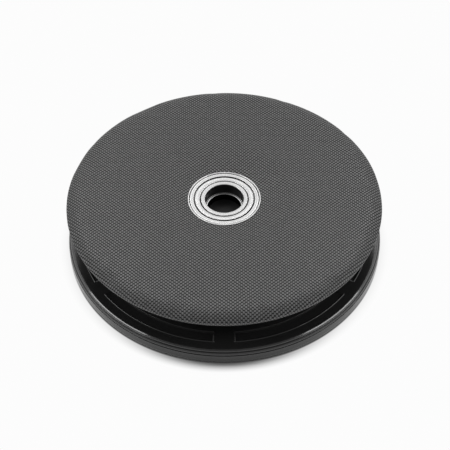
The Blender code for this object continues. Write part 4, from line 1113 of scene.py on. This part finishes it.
def headShape(kind, radius):
    # 48 points of a circle, a six-sided socket or a cross slot
    points = []
    for i in range(48):
        angle = 2 * pi * i / 48
        reach = radius
        if kind == "hex":
            fold = (angle + pi / 6) % (pi / 3) - pi / 6
            reach = radius / cos(fold)
        if kind == "cross":
            fold = abs((angle + pi / 4) % (pi / 2) - pi / 4)
            arm = slotArm * radius
            reach = radius / cos(fold) if tan(fold) * radius <= arm else arm / sin(fold)
        points.append((reach * cos(angle), reach * sin(angle)))
    return points


def stacked(name, rings):
    # rings given as (radius, height, kind of outline), one above the other
    rows = [[(x, y, height) for x, y in headShape(kind, radius)] for radius, height, kind in rings]
    return loft(name, rows)


def screwShape(s):
    # head down, with its slot from below and a few threads on the shank
    head, high, shank, slot, size = s["head"], s["headHeight"], s["shank"], s["slot"], s["slotSize"]
    end, deep = high + s["length"], 0.55 * high
    socket = [(0.35 * size, deep), (size, deep - 0.3), (size, 0.1), (size + 0.12, 0.0)]
    body = [(head - 0.55, 0.0), (head - 0.15, 0.22), (head, 0.6), (head, high - 0.2), (head - 0.2, high),
            (shank + 0.25, high), (shank, high + 0.25)]
    height, pitch = high + thread["clearTop"], max(thread["leastPitch"], thread["pitch"] * shank)
    while height + pitch < end - thread["clearEnd"]:
        body += [(shank, height), (shank - thread["depth"], height + pitch / 2)]
        height += pitch
    body += [(shank, height), (shank, end - 0.6), (shank - 0.5, end)]
    rings = [(r, z, slot) for r, z in socket] + [(r, z, "round") for r, z in body]
    return stacked(s["nodes"] + "One", rings)


for label, s in fasteners.items():
    made = ringPiece(label, screwShape(s), finishes["zinc"], s["count"], s["ring"], s["height"], s["first"],
                     spin=300, seed=len(label))
    fitted(made, s["body"], "zinc_plate", *numbered(s["nodes"], s["count"]))
print("feet and fasteners made")


# Spindle and the plug that closes its bore

spindle = {
    "top": 62.7, "bore": 22.3, "spigot": 24.7, "ledge": 42.2,
    # the top's two bright edges, as (distance in from the bore or the spigot, height over the top, fillet)
    "innerEdge": [(0.0, -0.4, 0.1), (0.8, 0.0, 0.05), (0.95, -0.15, 0.05)],
    "outerEdge": [(0.5, -0.15, 0.05), (0.1, 0.05, 0.05), (0.0, 0.0, 0.05)],
    "collar": (29.5, 49.7),
    "flange": (46.0, 45.8, 40.8),  # radius, top and bottom
    "foot": (29.2, 34.8),
    "footBore": 20.0,
}


def makeSpindle(s):
    top, bore, spigot, ledge = s["top"], s["bore"], s["spigot"], s["ledge"]
    collar, collarTop = s["collar"]
    flange, flangeTop, flangeBottom = s["flange"]
    foot, bottom = s["foot"]
    corners = [(bore + across, top + up, fillet) for across, up, fillet in s["innerEdge"]]
    corners += [(spigot - across, top + up, fillet) for across, up, fillet in s["outerEdge"]]
    corners += [
        (spigot, collarTop, 0.3), (collar, collarTop, 0.4), (collar, flangeTop, 0.8),
        (flange, flangeTop, 0.5), (flange, flangeBottom, 0.5), (foot, flangeBottom, 0.3), (foot, bottom, 0.5),
        (s["footBore"], bottom, 0.4), (s["footBore"], ledge, 0.2), (bore, ledge, 0.2),
    ]
    return turnedPiece("spindlePost", corners, finishes["spindle"], sides=128)


plug = {"top": 53.0, "radius": 22.0, "flat": 17.0, "sag": 0.1, "thick": 2.5, "skirt": 8.0, "wall": 1.5}


def makePlug(p):
    under = p["top"] - p["thick"]
    inner, bottom = p["radius"] - p["wall"], under - p["skirt"]
    return turnedPiece("borePlug", [
        (0, p["top"] - p["sag"]), (p["flat"], p["top"], 3.0), (p["radius"], p["top"], 0.4),
        (p["radius"], bottom, 0.3), (inner, bottom, 0.3), (inner, under, 0.6), (0, under),
    ], finishes["plug"], sides=96)


fitted(makeSpindle(spindle), "base", "blackened_steel", "spindle")
fitted(makePlug(plug), "base", "black_plastic", "bore_plug")


# Shielded ball bearing and its bright housing

bearing = {
    "face": 78.0,
    "bottom": 58.0,
    "middle": 68.0,
    "ballCircle": 35.0,
    "ballRadius": 6.35,
    "balls": 10,
    "track": 6.75,
    "trackLines": 14,
    "innerLand": 30.35,
    "outerLand": 38.75,
    "outer": 45.0,
    "bore": 25.0,
    "sleeveBottom": 50.0,
    "sleeveChamfer": 0.8,
    "shieldStep": (0.8, 2.5),  # width and depth of the outer race's step for each shield
    # as (radius, depth under the race's face, fillet): a pressed washer with a step near its outer edge
    "shield": [(31.1, 1.4, 0.1), (31.9, 0.2, 0.35), (37.5, 0.2, 0.3), (38.1, 2.1, 0.2), (39.3, 1.8, 0.1),
               (39.3, 2.6, 0.1), (37.7, 2.6, 0.3), (37.1, 0.7, 0.3), (32.3, 0.7, 0.2), (31.6, 1.5, 0.1)],
    "housing": [(45.3, 77.2, 0.1), (45.65, 78.6, 0.12), (46.95, 78.6, 0.12), (47.2, 78.3, 0.12),
                (47.2, 64.1, 0.8), (66.0, 64.1, 0.3), (66.0, 60.1, 0.6), (50.2, 60.1, 1.5),
                (47.2, 54.7, 1.0), (41.0, 54.7, 0.4), (41.0, 57.7, 0.3), (45.3, 57.7, 0.3)],
}
bearingCage = {
    "clear": 0.45, "neck": 0.55, "flat": 1.2, "thick": 0.8, "halfWidth": 1.6, "lines": 16,
    "rivet": [(0, 1.75), (0.9, 1.7, 0.3), (1.1, 1.15), (1.1, -1.15), (0.9, -1.7, 0.3), (0, -1.75)],
}
grub = {
    "count": 2, "height": 54.0, "first": -60, "apart": 120,
    "hole": 2.5, "holeEnds": (9.0, -2.0), "sunk": 5.05,
    "rings": [(1.5, 5.0, "round"), (2.2, 4.3, "round"), (2.2, 0.3, "round"), (1.9, 0.0, "round"),
              (1.1, 0.0, "hex"), (1.0, 0.1, "hex"), (1.0, 1.6, "hex")],
}


def grubRing(name, part, finish):
    return ringPiece(name, part, finish, grub["count"], bearing["bore"], grub["height"],
                     grub["first"], grub["apart"])


def ballTrack(b, sign, land):
    # a race's round groove, from top to bottom
    top = acos(abs(land - b["ballCircle"]) / b["track"])
    angles = [top - 2 * top * i / b["trackLines"] for i in range(b["trackLines"] + 1)]
    return [(b["ballCircle"] + sign * b["track"] * cos(a), b["middle"] + b["track"] * sin(a)) for a in angles]


def makeInnerRace(b):
    face, bore, land = b["face"], b["bore"], b["innerLand"]
    end, chamfer = b["sleeveBottom"], b["sleeveChamfer"]
    corners = [
        (bore, face - 0.5, 0.15), (bore + 0.4, face, 0.15), (land - 0.4, face, 0.15), (land, face - 0.9, 0.3),
        *ballTrack(b, -1, land), (land, end + chamfer, 0.3), (land - chamfer, end, 0.3), (bore, end, 0.3),
    ]
    race = turnedPiece("innerRace", corners, finishes["innerRace"], sides=128)
    (high, low), wide = grub["holeEnds"], grub["hole"]
    hole = turnedPiece("grubHole", [(0, high), (wide, high), (wide, low), (0, low)], None, sides=24)
    hole.data.transform(Matrix.Rotation(pi / 2, 4, "Y"))
    return shaped(race, grubRing("grubHoles", hole, None), "DIFFERENCE")


def makeOuterRace(b):
    face, bottom, out, land = b["face"], b["bottom"], b["outer"], b["outerLand"]
    width, deep = b["shieldStep"]
    step = land + width
    corners = [
        (step, face - 1.2, 0.2), (step + 0.3, face, 0.15), (out - 0.7, face, 0.15), (out, face - 1.6, 0.25),
        (out, bottom + 0.7, 0.25), (out - 0.7, bottom, 0.25), (step, bottom, 0.2), (step, bottom + deep, 0.1),
        (land, bottom + deep, 0.1), *ballTrack(b, 1, land)[::-1],
        (land, face - deep, 0.1), (step, face - deep, 0.1),
    ]
    return turnedPiece("outerRace", corners, finishes["steel"], sides=128)


def makeShield(name, b, face, down):
    corners = [(radius, face + down * depth, fillet) for radius, depth, fillet in b["shield"]]
    return turnedPiece(name, corners, finishes["steel"], sides=128)


def ballShape(name, radius):
    bm = bmesh.new()
    bmesh.ops.create_icosphere(bm, subdivisions=4, radius=radius * milli)
    mesh = bpy.data.meshes.new(name)
    bm.to_mesh(mesh)
    bm.free()
    mesh.shade_smooth()
    return added(name, mesh)


def ballRing(name, radius, count, circle, height):
    return ringPiece(name, ballShape(name + "One", radius), finishes["ball"], count, circle, height)


def makeBearingCage(b, c):
    # a ribbon that bows over and under each ball, flat and riveted between them
    circle, balls = b["ballCircle"], b["balls"]
    bay, pocket = pi * circle / balls, b["ballRadius"] + c["clear"]
    bow = [-pocket * cos(pi * i / c["lines"]) for i in range(c["lines"] + 1)]
    rows = []
    for along in [-bay, -pocket - c["neck"], *bow, pocket + c["neck"]]:
        inside = sqrt(max(pocket**2 - along**2, 0.0))
        outside = max(sqrt(max((pocket + c["thick"]) ** 2 - along**2, 0.0)), c["flat"])
        rows.append((along, inside, outside))
    points, faces = [], []
    for ball in range(balls):
        middle = 2 * pi * ball / balls - pi / 2
        for along, inside, outside in rows:
            angle = middle + along / circle
            for radius in (circle - c["halfWidth"], circle + c["halfWidth"]):
                x, y = radius * cos(angle) * milli, radius * sin(angle) * milli
                points += [(x, y, (b["middle"] + h) * milli) for h in (outside, inside, -inside, -outside)]
    total = balls * len(rows)
    for i in range(total):
        a, n = i * 8, ((i + 1) % total) * 8
        openHere = rows[i % len(rows)][1] > 0 or rows[(i + 1) % len(rows)][1] > 0
        for upper, lower in ((0, 1), (2, 3)):
            faces.append((a + upper, a + lower, n + lower, n + upper))
            faces.append((a + 4 + lower, a + 4 + upper, n + 4 + upper, n + 4 + lower))
        for row in (0, 1, 2, 3) if openHere else (0, 3):
            faces.append((a + row, n + row, n + 4 + row, a + 4 + row))
    mesh = bpy.data.meshes.new("bearingCage")
    mesh.from_pydata(points, [], faces)
    mesh.materials.append(finishes["brass"])
    cage = added("bearingCage", smoothed(mesh))
    rivet = turnedPiece("cageRivet", c["rivet"], None, sides=16)
    rivets = ringPiece("cageRivets", rivet, finishes["brass"], balls, circle, b["middle"], 180 / balls)
    return shaped(cage, rivets, "UNION")


fitted(makeInnerRace(bearing), "base", "polished_steel", "inner_race")
fitted(makeOuterRace(bearing), "seat", "polished_steel", "outer_race")
fitted(makeShield("shieldUpper", bearing, bearing["face"], -1), "seat", "polished_steel", "shield_upper")
fitted(makeShield("shieldLower", bearing, bearing["bottom"], 1), "seat", "polished_steel", "shield_lower")
housing = turnedPiece("bearingHousing", bearing["housing"], finishes["steel"], sides=144)
fitted(housing, "seat", "polished_steel", "bearing_housing")
fitted(makeBearingCage(bearing, bearingCage), "bearing_ball_set", "cage_brass", "bearing_cage")
bearingBalls = ballRing("bearingBalls", bearing["ballRadius"], bearing["balls"], bearing["ballCircle"],
                        bearing["middle"])
fitted(bearingBalls, "bearing_ball_set", "polished_steel", *numbered("bearing_ball", 10))

grubScrew = stacked("grubOne", grub["rings"])
grubScrew.data.transform(Matrix.Rotation(-pi / 2, 4, "Y") @ Matrix.Translation((0, 0, -grub["sunk"] * milli)))
grubScrews = grubRing("grubScrews", grubScrew, finishes["blackened"])
fitted(grubScrews, "base", "blackened_steel", *numbered("grub_screw", 2))
print("bearing made")


# Turntable ball ring under the board

turntable = {
    "circle": 82.0, "ball": 5.0, "balls": 10, "height": 46.0,
    "groove": 5.4, "grooveLines": 16, "split": 2.4, "inner": 74.0, "outer": 90.0,
    "upperSeat": 53.2, "lowerSeat": 38.8,
    "cageHalf": 0.6, "windowClear": 0.4, "windowHalf": 2.0,
}


def makeTurntableRace(name, seat, t, facing):
    mouth = t["height"] + facing * t["split"] / 2
    low = asin(t["split"] / 2 / t["groove"])
    corners = [(t["outer"], seat, 0.5), (t["outer"], mouth, 0.4)]
    for i in range(t["grooveLines"] + 1):
        angle = low + (pi - 2 * low) * i / t["grooveLines"]
        out, up = t["groove"] * cos(angle), facing * t["groove"] * sin(angle)
        corners.append((t["circle"] + out, t["height"] + up))
    corners += [(t["inner"], mouth, 0.4), (t["inner"], seat, 0.5)]
    return turnedPiece(name, corners, finishes["race"])


def makeTurntableCage(t):
    high, low, inner, outer = t["height"] + t["cageHalf"], t["height"] - t["cageHalf"], t["inner"], t["outer"]
    corners = [(inner, high, 0.3), (outer, high, 0.3), (outer, low, 0.3), (inner, low, 0.3)]
    cage = turnedPiece("turntableCage", corners, finishes["cagePlastic"])
    window = postShape("ballWindow", t["ball"] + t["windowClear"], -t["windowHalf"], t["windowHalf"], 0.0)
    windows = ringPiece("ballWindows", window, None, t["balls"], t["circle"], t["height"])
    return shaped(cage, windows, "DIFFERENCE")


upperRace = makeTurntableRace("upperTurntableRace", turntable["upperSeat"], turntable, 1)
fitted(upperRace, "seat", "race_steel", "upper_turntable_race")
lowerRace = makeTurntableRace("lowerTurntableRace", turntable["lowerSeat"], turntable, -1)
fitted(lowerRace, "base", "race_steel", "lower_turntable_race")
fitted(makeTurntableCage(turntable), "turntable_ball_set", "cage_plastic", "turntable_cage")
turntableBalls = ballRing("turntableBalls", turntable["ball"], turntable["balls"], turntable["circle"],
                          turntable["height"])
fitted(turntableBalls, "turntable_ball_set", "polished_steel", *numbered("turntable_ball", 10))
print("turntable made")


# Seat board and the ring that holds the cloth's hem

board = {
    "bottom": 64.4, "top": 68.4, "outer": 191.0, "edgeBottom": 66.4, "slopeTo": 184.2,
    "opening": 47.5, "boss": (66.0, 71.4),
    "hub": (69.0, 95.0), "hubBottom": 53.5, "raceSeat": (73.7, 51.5),
    "ribRing": (146.0, 149.0), "ribBottom": 57.4,
    "spokes": {"count": 12, "first": 15.0, "thick": 3.0, "from": 94.0, "length": 53.5, "drop": 6.0,
               "overlap": 2.0},
}


def makeSeatBoard(b):
    low, top, out = b["bottom"], b["top"], b["outer"]
    boss, bossTop = b["boss"]
    hubIn, hubOut = b["hub"]
    seat, seatBottom = b["raceSeat"]
    ribIn, ribOut = b["ribRing"]
    obj = turnedPiece("seatBoard", [
        (b["opening"], bossTop, 0.4), (boss, bossTop, 0.6), (boss, top, 0.6), (out, top, 0.8),
        (out, b["edgeBottom"], 0.6), (b["slopeTo"], low, 1.0), (ribOut, low, 0.6),
        (ribOut, b["ribBottom"], 0.5), (ribIn, b["ribBottom"], 0.5), (ribIn, low, 0.6), (hubOut, low, 0.8),
        (hubOut, b["hubBottom"], 0.5), (seat, b["hubBottom"], 0.3), (seat, seatBottom, 0.4),
        (hubIn, seatBottom, 0.4), (hubIn, low, 0.8), (b["opening"], low, 0.4),
    ], finishes["board"])
    s = b["spokes"]
    bar = barShape("boardSpoke", s["length"], s["thick"], low - s["drop"], low + s["overlap"])
    bars = ringPiece("boardSpokes", bar, None, s["count"], s["from"], 0.0, s["first"])
    return shaped(obj, bars, "UNION")


hemRing = {
    "outline": [(149.3, 64.1, 0.4), (164.9, 64.1, 0.3), (164.9, 62.6, 0.3), (174.7, 62.6, 0.4),
                (174.7, 60.6, 0.7), (168.0, 60.6, 0.4), (167.2, 61.2, 0.3), (162.0, 61.2, 0.3),
                (161.2, 60.6, 0.4), (149.3, 60.6, 0.5)],
    "clips": {"count": 12, "from": 152.5, "length": 5.0, "thick": 9.0, "low": 59.9, "high": 62.0},
}


def makeHemRing(h):
    obj = turnedPiece("hemRing", h["outline"], finishes["base"], sides=192)
    clips = h["clips"]
    clip = barShape("ringClip", clips["length"], clips["thick"], clips["low"], clips["high"])
    return shaped(obj, ringPiece("ringClips", clip, None, clips["count"], clips["from"], 0.0), "UNION")


fitted(makeSeatBoard(board), "seat", "board_plastic", "seat_board")
fitted(makeHemRing(hemRing), "seat", "black_plastic", "hem_ring")
print("board made")


# Woven cover over the foam pad

pad = {
    "radius": 203.2,
    "crown": 82.4,
    "widest": 75.2,
    "under": 62.9,
    "shoulder": 20.0,
    "bevel": 1.8,  # 2 is a plain ellipse; less is nearer to a straight bevel
    "tuck": 18.8,
    "dish": (47.4, 95.2, 4.0),
    "lip": 0.4,  # how softly the cloth turns down into the hole
    "lipAngles": (15, 40, 65),
    "sleeve": (71.8, 1.1),  # its lower end, and how far under the dish's edge it starts
    "hem": (180.0, 175.5, 171.0, 167.0, 165.2),
    "rows": (12, 13, 11),  # over the dish, the crown and each curve
    "columns": 168,
    "cloth": 1.2,
    "slack": 0.2,  # the skin starts this much smaller, and pressure fills it
    "mostMove": 0.8,
    "waves": {"seed": 7, "count": 6, "folds": (3, 14), "depth": (0.02, 0.05), "spread": 23,
              "from": 60, "above": 2},
    "simulation": {"frames": 20, "quality": 6, "mass": 0.3, "stretch": 60, "shear": 24, "bend": 4,
                   "pressure": 4},
}
foam = {
    "gap": 0.8,  # under the cloth
    "rows": (7, 8, 7),
    "columns": 112,
    "cutBelow": 66.6,  # the outline is cut off here, and goes on along the board
    "cutOutside": 60,
    "board": [(191.4, 66.5), (191.4, 68.8), (130.0, 68.8), (66.8, 68.8), (66.7, 71.8)],
}


def padOutline(p, inset, rowCounts):
    dishRows, crownRows, curveRows = rowCounts
    hole, dishEnd, depth = p["dish"]
    hole += inset
    crown, lip = p["crown"], p["lip"]
    sleeveEnd, sleeveDrop = p["sleeve"]
    rows = [(hole, h) for h in np.linspace(sleeveEnd, crown - depth - sleeveDrop, 4)]
    for a in np.radians(p["lipAngles"]):
        rows.append((hole + lip * (1 - cos(a)), crown - depth - lip + lip * sin(a) - inset))
    for share in np.linspace(0.03, 1, dishRows):
        rows.append((hole + (dishEnd - hole) * share, crown - depth * (1 + cos(pi * share)) / 2 - inset))
    shoulderAt = p["radius"] - p["shoulder"]
    rows += [(r, crown - inset) for r in np.linspace(dishEnd, shoulderAt, crownRows)[1:-1]]
    reach, rise = p["shoulder"] - inset, crown - p["widest"] - inset
    bend = 2 / p["bevel"]
    rows += [(shoulderAt + reach * max(cos(a), 0) ** bend, p["widest"] + rise * max(sin(a), 0) ** bend)
             for a in np.radians(np.linspace(90, 0, curveRows))]
    tuckAt = p["radius"] - p["tuck"]
    reach, rise = p["tuck"] - inset, p["widest"] - p["under"] - inset
    downward = np.radians(np.linspace(0, -90, curveRows))[1:]
    return rows + [(tuckAt + reach * cos(a), p["widest"] + rise * sin(a)) for a in downward]


def polarSkin(name, rows, columns, closed):
    # a grid of rows round the axis, with a thread map that unrolls each row by its arc length
    angles = [2 * pi * i / columns for i in range(columns)]
    points = [(r * cos(a) * milli, r * sin(a) * milli, z * milli) for r, z in rows for a in angles]
    count = len(rows)
    faces = []
    for row in range(count if closed else count - 1):
        for col in range(columns):
            a, b = row * columns, ((row + 1) % count) * columns
            faces.append((a + col, b + col, b + (col + 1) % columns, a + (col + 1) % columns))
    mesh = bpy.data.meshes.new(name)
    mesh.from_pydata(points, [], faces)
    lengths = [0.0]
    for (r0, z0), (r1, z1) in zip(rows, rows[1:]):
        lengths.append(lengths[-1] + hypot(r1 - r0, z1 - z0))
    # the map is true to size at the dish's outer end
    dishEnd, crown = pad["dish"][1], pad["crown"]
    anchor = min(range(count), key=lambda i: abs(rows[i][0] - dishEnd) + abs(rows[i][1] - crown))
    unrolled = [rows[anchor][0] + length - lengths[anchor] for length in lengths]
    threads = mesh.uv_layers.new(name="threadMap")
    for loop in mesh.loops:
        row, col = divmod(loop.vertex_index, columns)
        reach = unrolled[row] * milli
        threads.data[loop.index].uv = (reach * cos(angles[col]), reach * sin(angles[col]))
    return mesh


def inflate(obj, p, held):
    # cloth pressure fills the skin; the sleeve and hem stay where they are pinned
    group = obj.vertex_groups.new(name="held")
    group.add(held, 1.0, "REPLACE")
    start = np.array([v.co for v in obj.data.vertices])
    outward = np.array([v.normal for v in obj.data.vertices])
    give = p["simulation"]
    step = obj.modifiers.new("stretch", "CLOTH")
    s = step.settings
    s.quality, s.mass = give["quality"], give["mass"]
    s.tension_stiffness = s.compression_stiffness = give["stretch"]
    s.shear_stiffness, s.bending_stiffness = give["shear"], give["bend"]
    s.use_pressure, s.uniform_pressure_force = True, give["pressure"]
    s.effector_weights.gravity = 0
    s.vertex_group_mass = "held"
    step.collision_settings.use_collision = False
    for moment in range(1, give["frames"] + 1):
        scene.frame_set(moment)
    graph = bpy.context.evaluated_depsgraph_get()
    end = np.array([v.co for v in obj.evaluated_get(graph).data.vertices])
    obj.modifiers.remove(step)
    scene.frame_set(1)
    # the foam behind the skin lets it out, as far as the cloth gives, and never in
    swell = np.sum((end - start) * outward, axis=1)
    most = p["mostMove"] * milli
    kept = most * np.tanh(np.maximum(swell, 0.0) / most)
    obj.data.vertices.foreach_set("co", (start + kept[:, None] * outward).ravel())
    rim = np.argsort(np.hypot(start[:, 0], start[:, 1]))[-p["columns"]:]
    swelled, most, atRim = (round(float(v) * 1000, 2) for v in (swell.max(), kept.max(), kept[rim].mean()))
    print("cloth swells by up to", swelled, "mm, kept", most, "mm; at the rim", atRim, "mm")


def turnedOut(mesh):
    # makes the open skin's faces look away from the foam
    bm = bmesh.new()
    bm.from_mesh(mesh)
    bmesh.ops.recalc_face_normals(bm, faces=bm.faces)
    crownHeight = (pad["crown"] - 2.4) * milli
    if sum(f.normal.z * f.calc_area() for f in bm.faces if f.calc_center_median().z > crownHeight) < 0:
        bmesh.ops.reverse_faces(bm, faces=bm.faces)
    bm.to_mesh(mesh)
    bm.free()


def ripple(mesh, rows, p):
    # faint, broad waves over the top
    w, columns = p["waves"], p["columns"]
    draw = np.random.default_rng(w["seed"])
    waves = []
    for _ in range(w["count"]):
        waves.append((draw.integers(*w["folds"]), draw.uniform(0, 2 * pi), draw.uniform(*w["depth"])))
    for i, vertex in enumerate(mesh.vertices):
        row, col = divmod(i, columns)
        radius, height = rows[row]
        if w["from"] < radius and height > p["under"] + w["above"]:
            angle = 2 * pi * col / columns
            vertex.co.z += milli * sum(a * cos(n * angle + s + radius / w["spread"]) for n, s, a in waves)


def makeSeatCover(p):
    rows = padOutline(p, p["slack"], p["rows"])
    rows += [(r, p["under"] + p["slack"]) for r in p["hem"]]
    columns, count = p["columns"], len(rows)
    mesh = polarSkin("seatCover", rows, columns, False)
    mesh.materials.append(finishes["cloth"])
    turnedOut(mesh)
    obj = added("seatCover", mesh)
    ripple(mesh, rows, p)
    pinned = (0, 1, 2, 3, count - 3, count - 2, count - 1)
    inflate(obj, p, [r * columns + c for r in pinned for c in range(columns)])
    finer = obj.modifiers.new("finer", "SUBSURF")
    finer.levels = finer.render_levels = 1
    thick = obj.modifiers.new("cloth", "SOLIDIFY")
    thick.thickness, thick.offset = p["cloth"] * milli, -1
    obj.data = settled(obj)
    obj.data.shade_smooth()
    return obj


def makeFoamPad(p, f):
    rows = padOutline(p, p["cloth"] + f["gap"], f["rows"])
    rows = [(r, z) for r, z in rows if z > f["cutBelow"] or r < f["cutOutside"]] + f["board"]
    mesh = polarSkin("foamPad", rows, f["columns"], True)
    mesh.materials.append(finishes["foam"])
    return added("foamPad", smoothed(mesh, 50))


seatCover = fitted(makeSeatCover(pad), "seat", "woven_cloth", "seat_cover")
foamPad = fitted(makeFoamPad(pad, foam), "seat", "foam", "foam_pad")

hemStitch = {
    "count": 248, "ring": 177.6, "length": 2.9, "radius": 0.28, "endShare": 0.45, "sag": 0.25, "lift": 0.35,
    "rows": 5, "sides": 6,
}


def makeHemStitches(h):
    # one stitch is a short thread, thicker and lower in its middle
    rows = []
    for i in range(h["rows"]):
        share = i / (h["rows"] - 1)
        along, drop = (share - 0.5) * h["length"], -h["sag"] * sin(pi * share)
        size = h["radius"] * (h["endShare"] + (1 - h["endShare"]) * sin(pi * share))
        angles = [2 * pi * k / h["sides"] for k in range(h["sides"])]
        rows.append([(size * cos(a), along, drop + size * sin(a)) for a in angles])
    stitch, height = loft("hemStitchOne", rows, 60), pad["under"] + h["lift"]
    return ringPiece("hemStitches", stitch, finishes["thread"], h["count"], h["ring"], height)


stitches = makeHemStitches(hemStitch)
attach(stitches, "seat")
print("seat cover, foam and hem made")
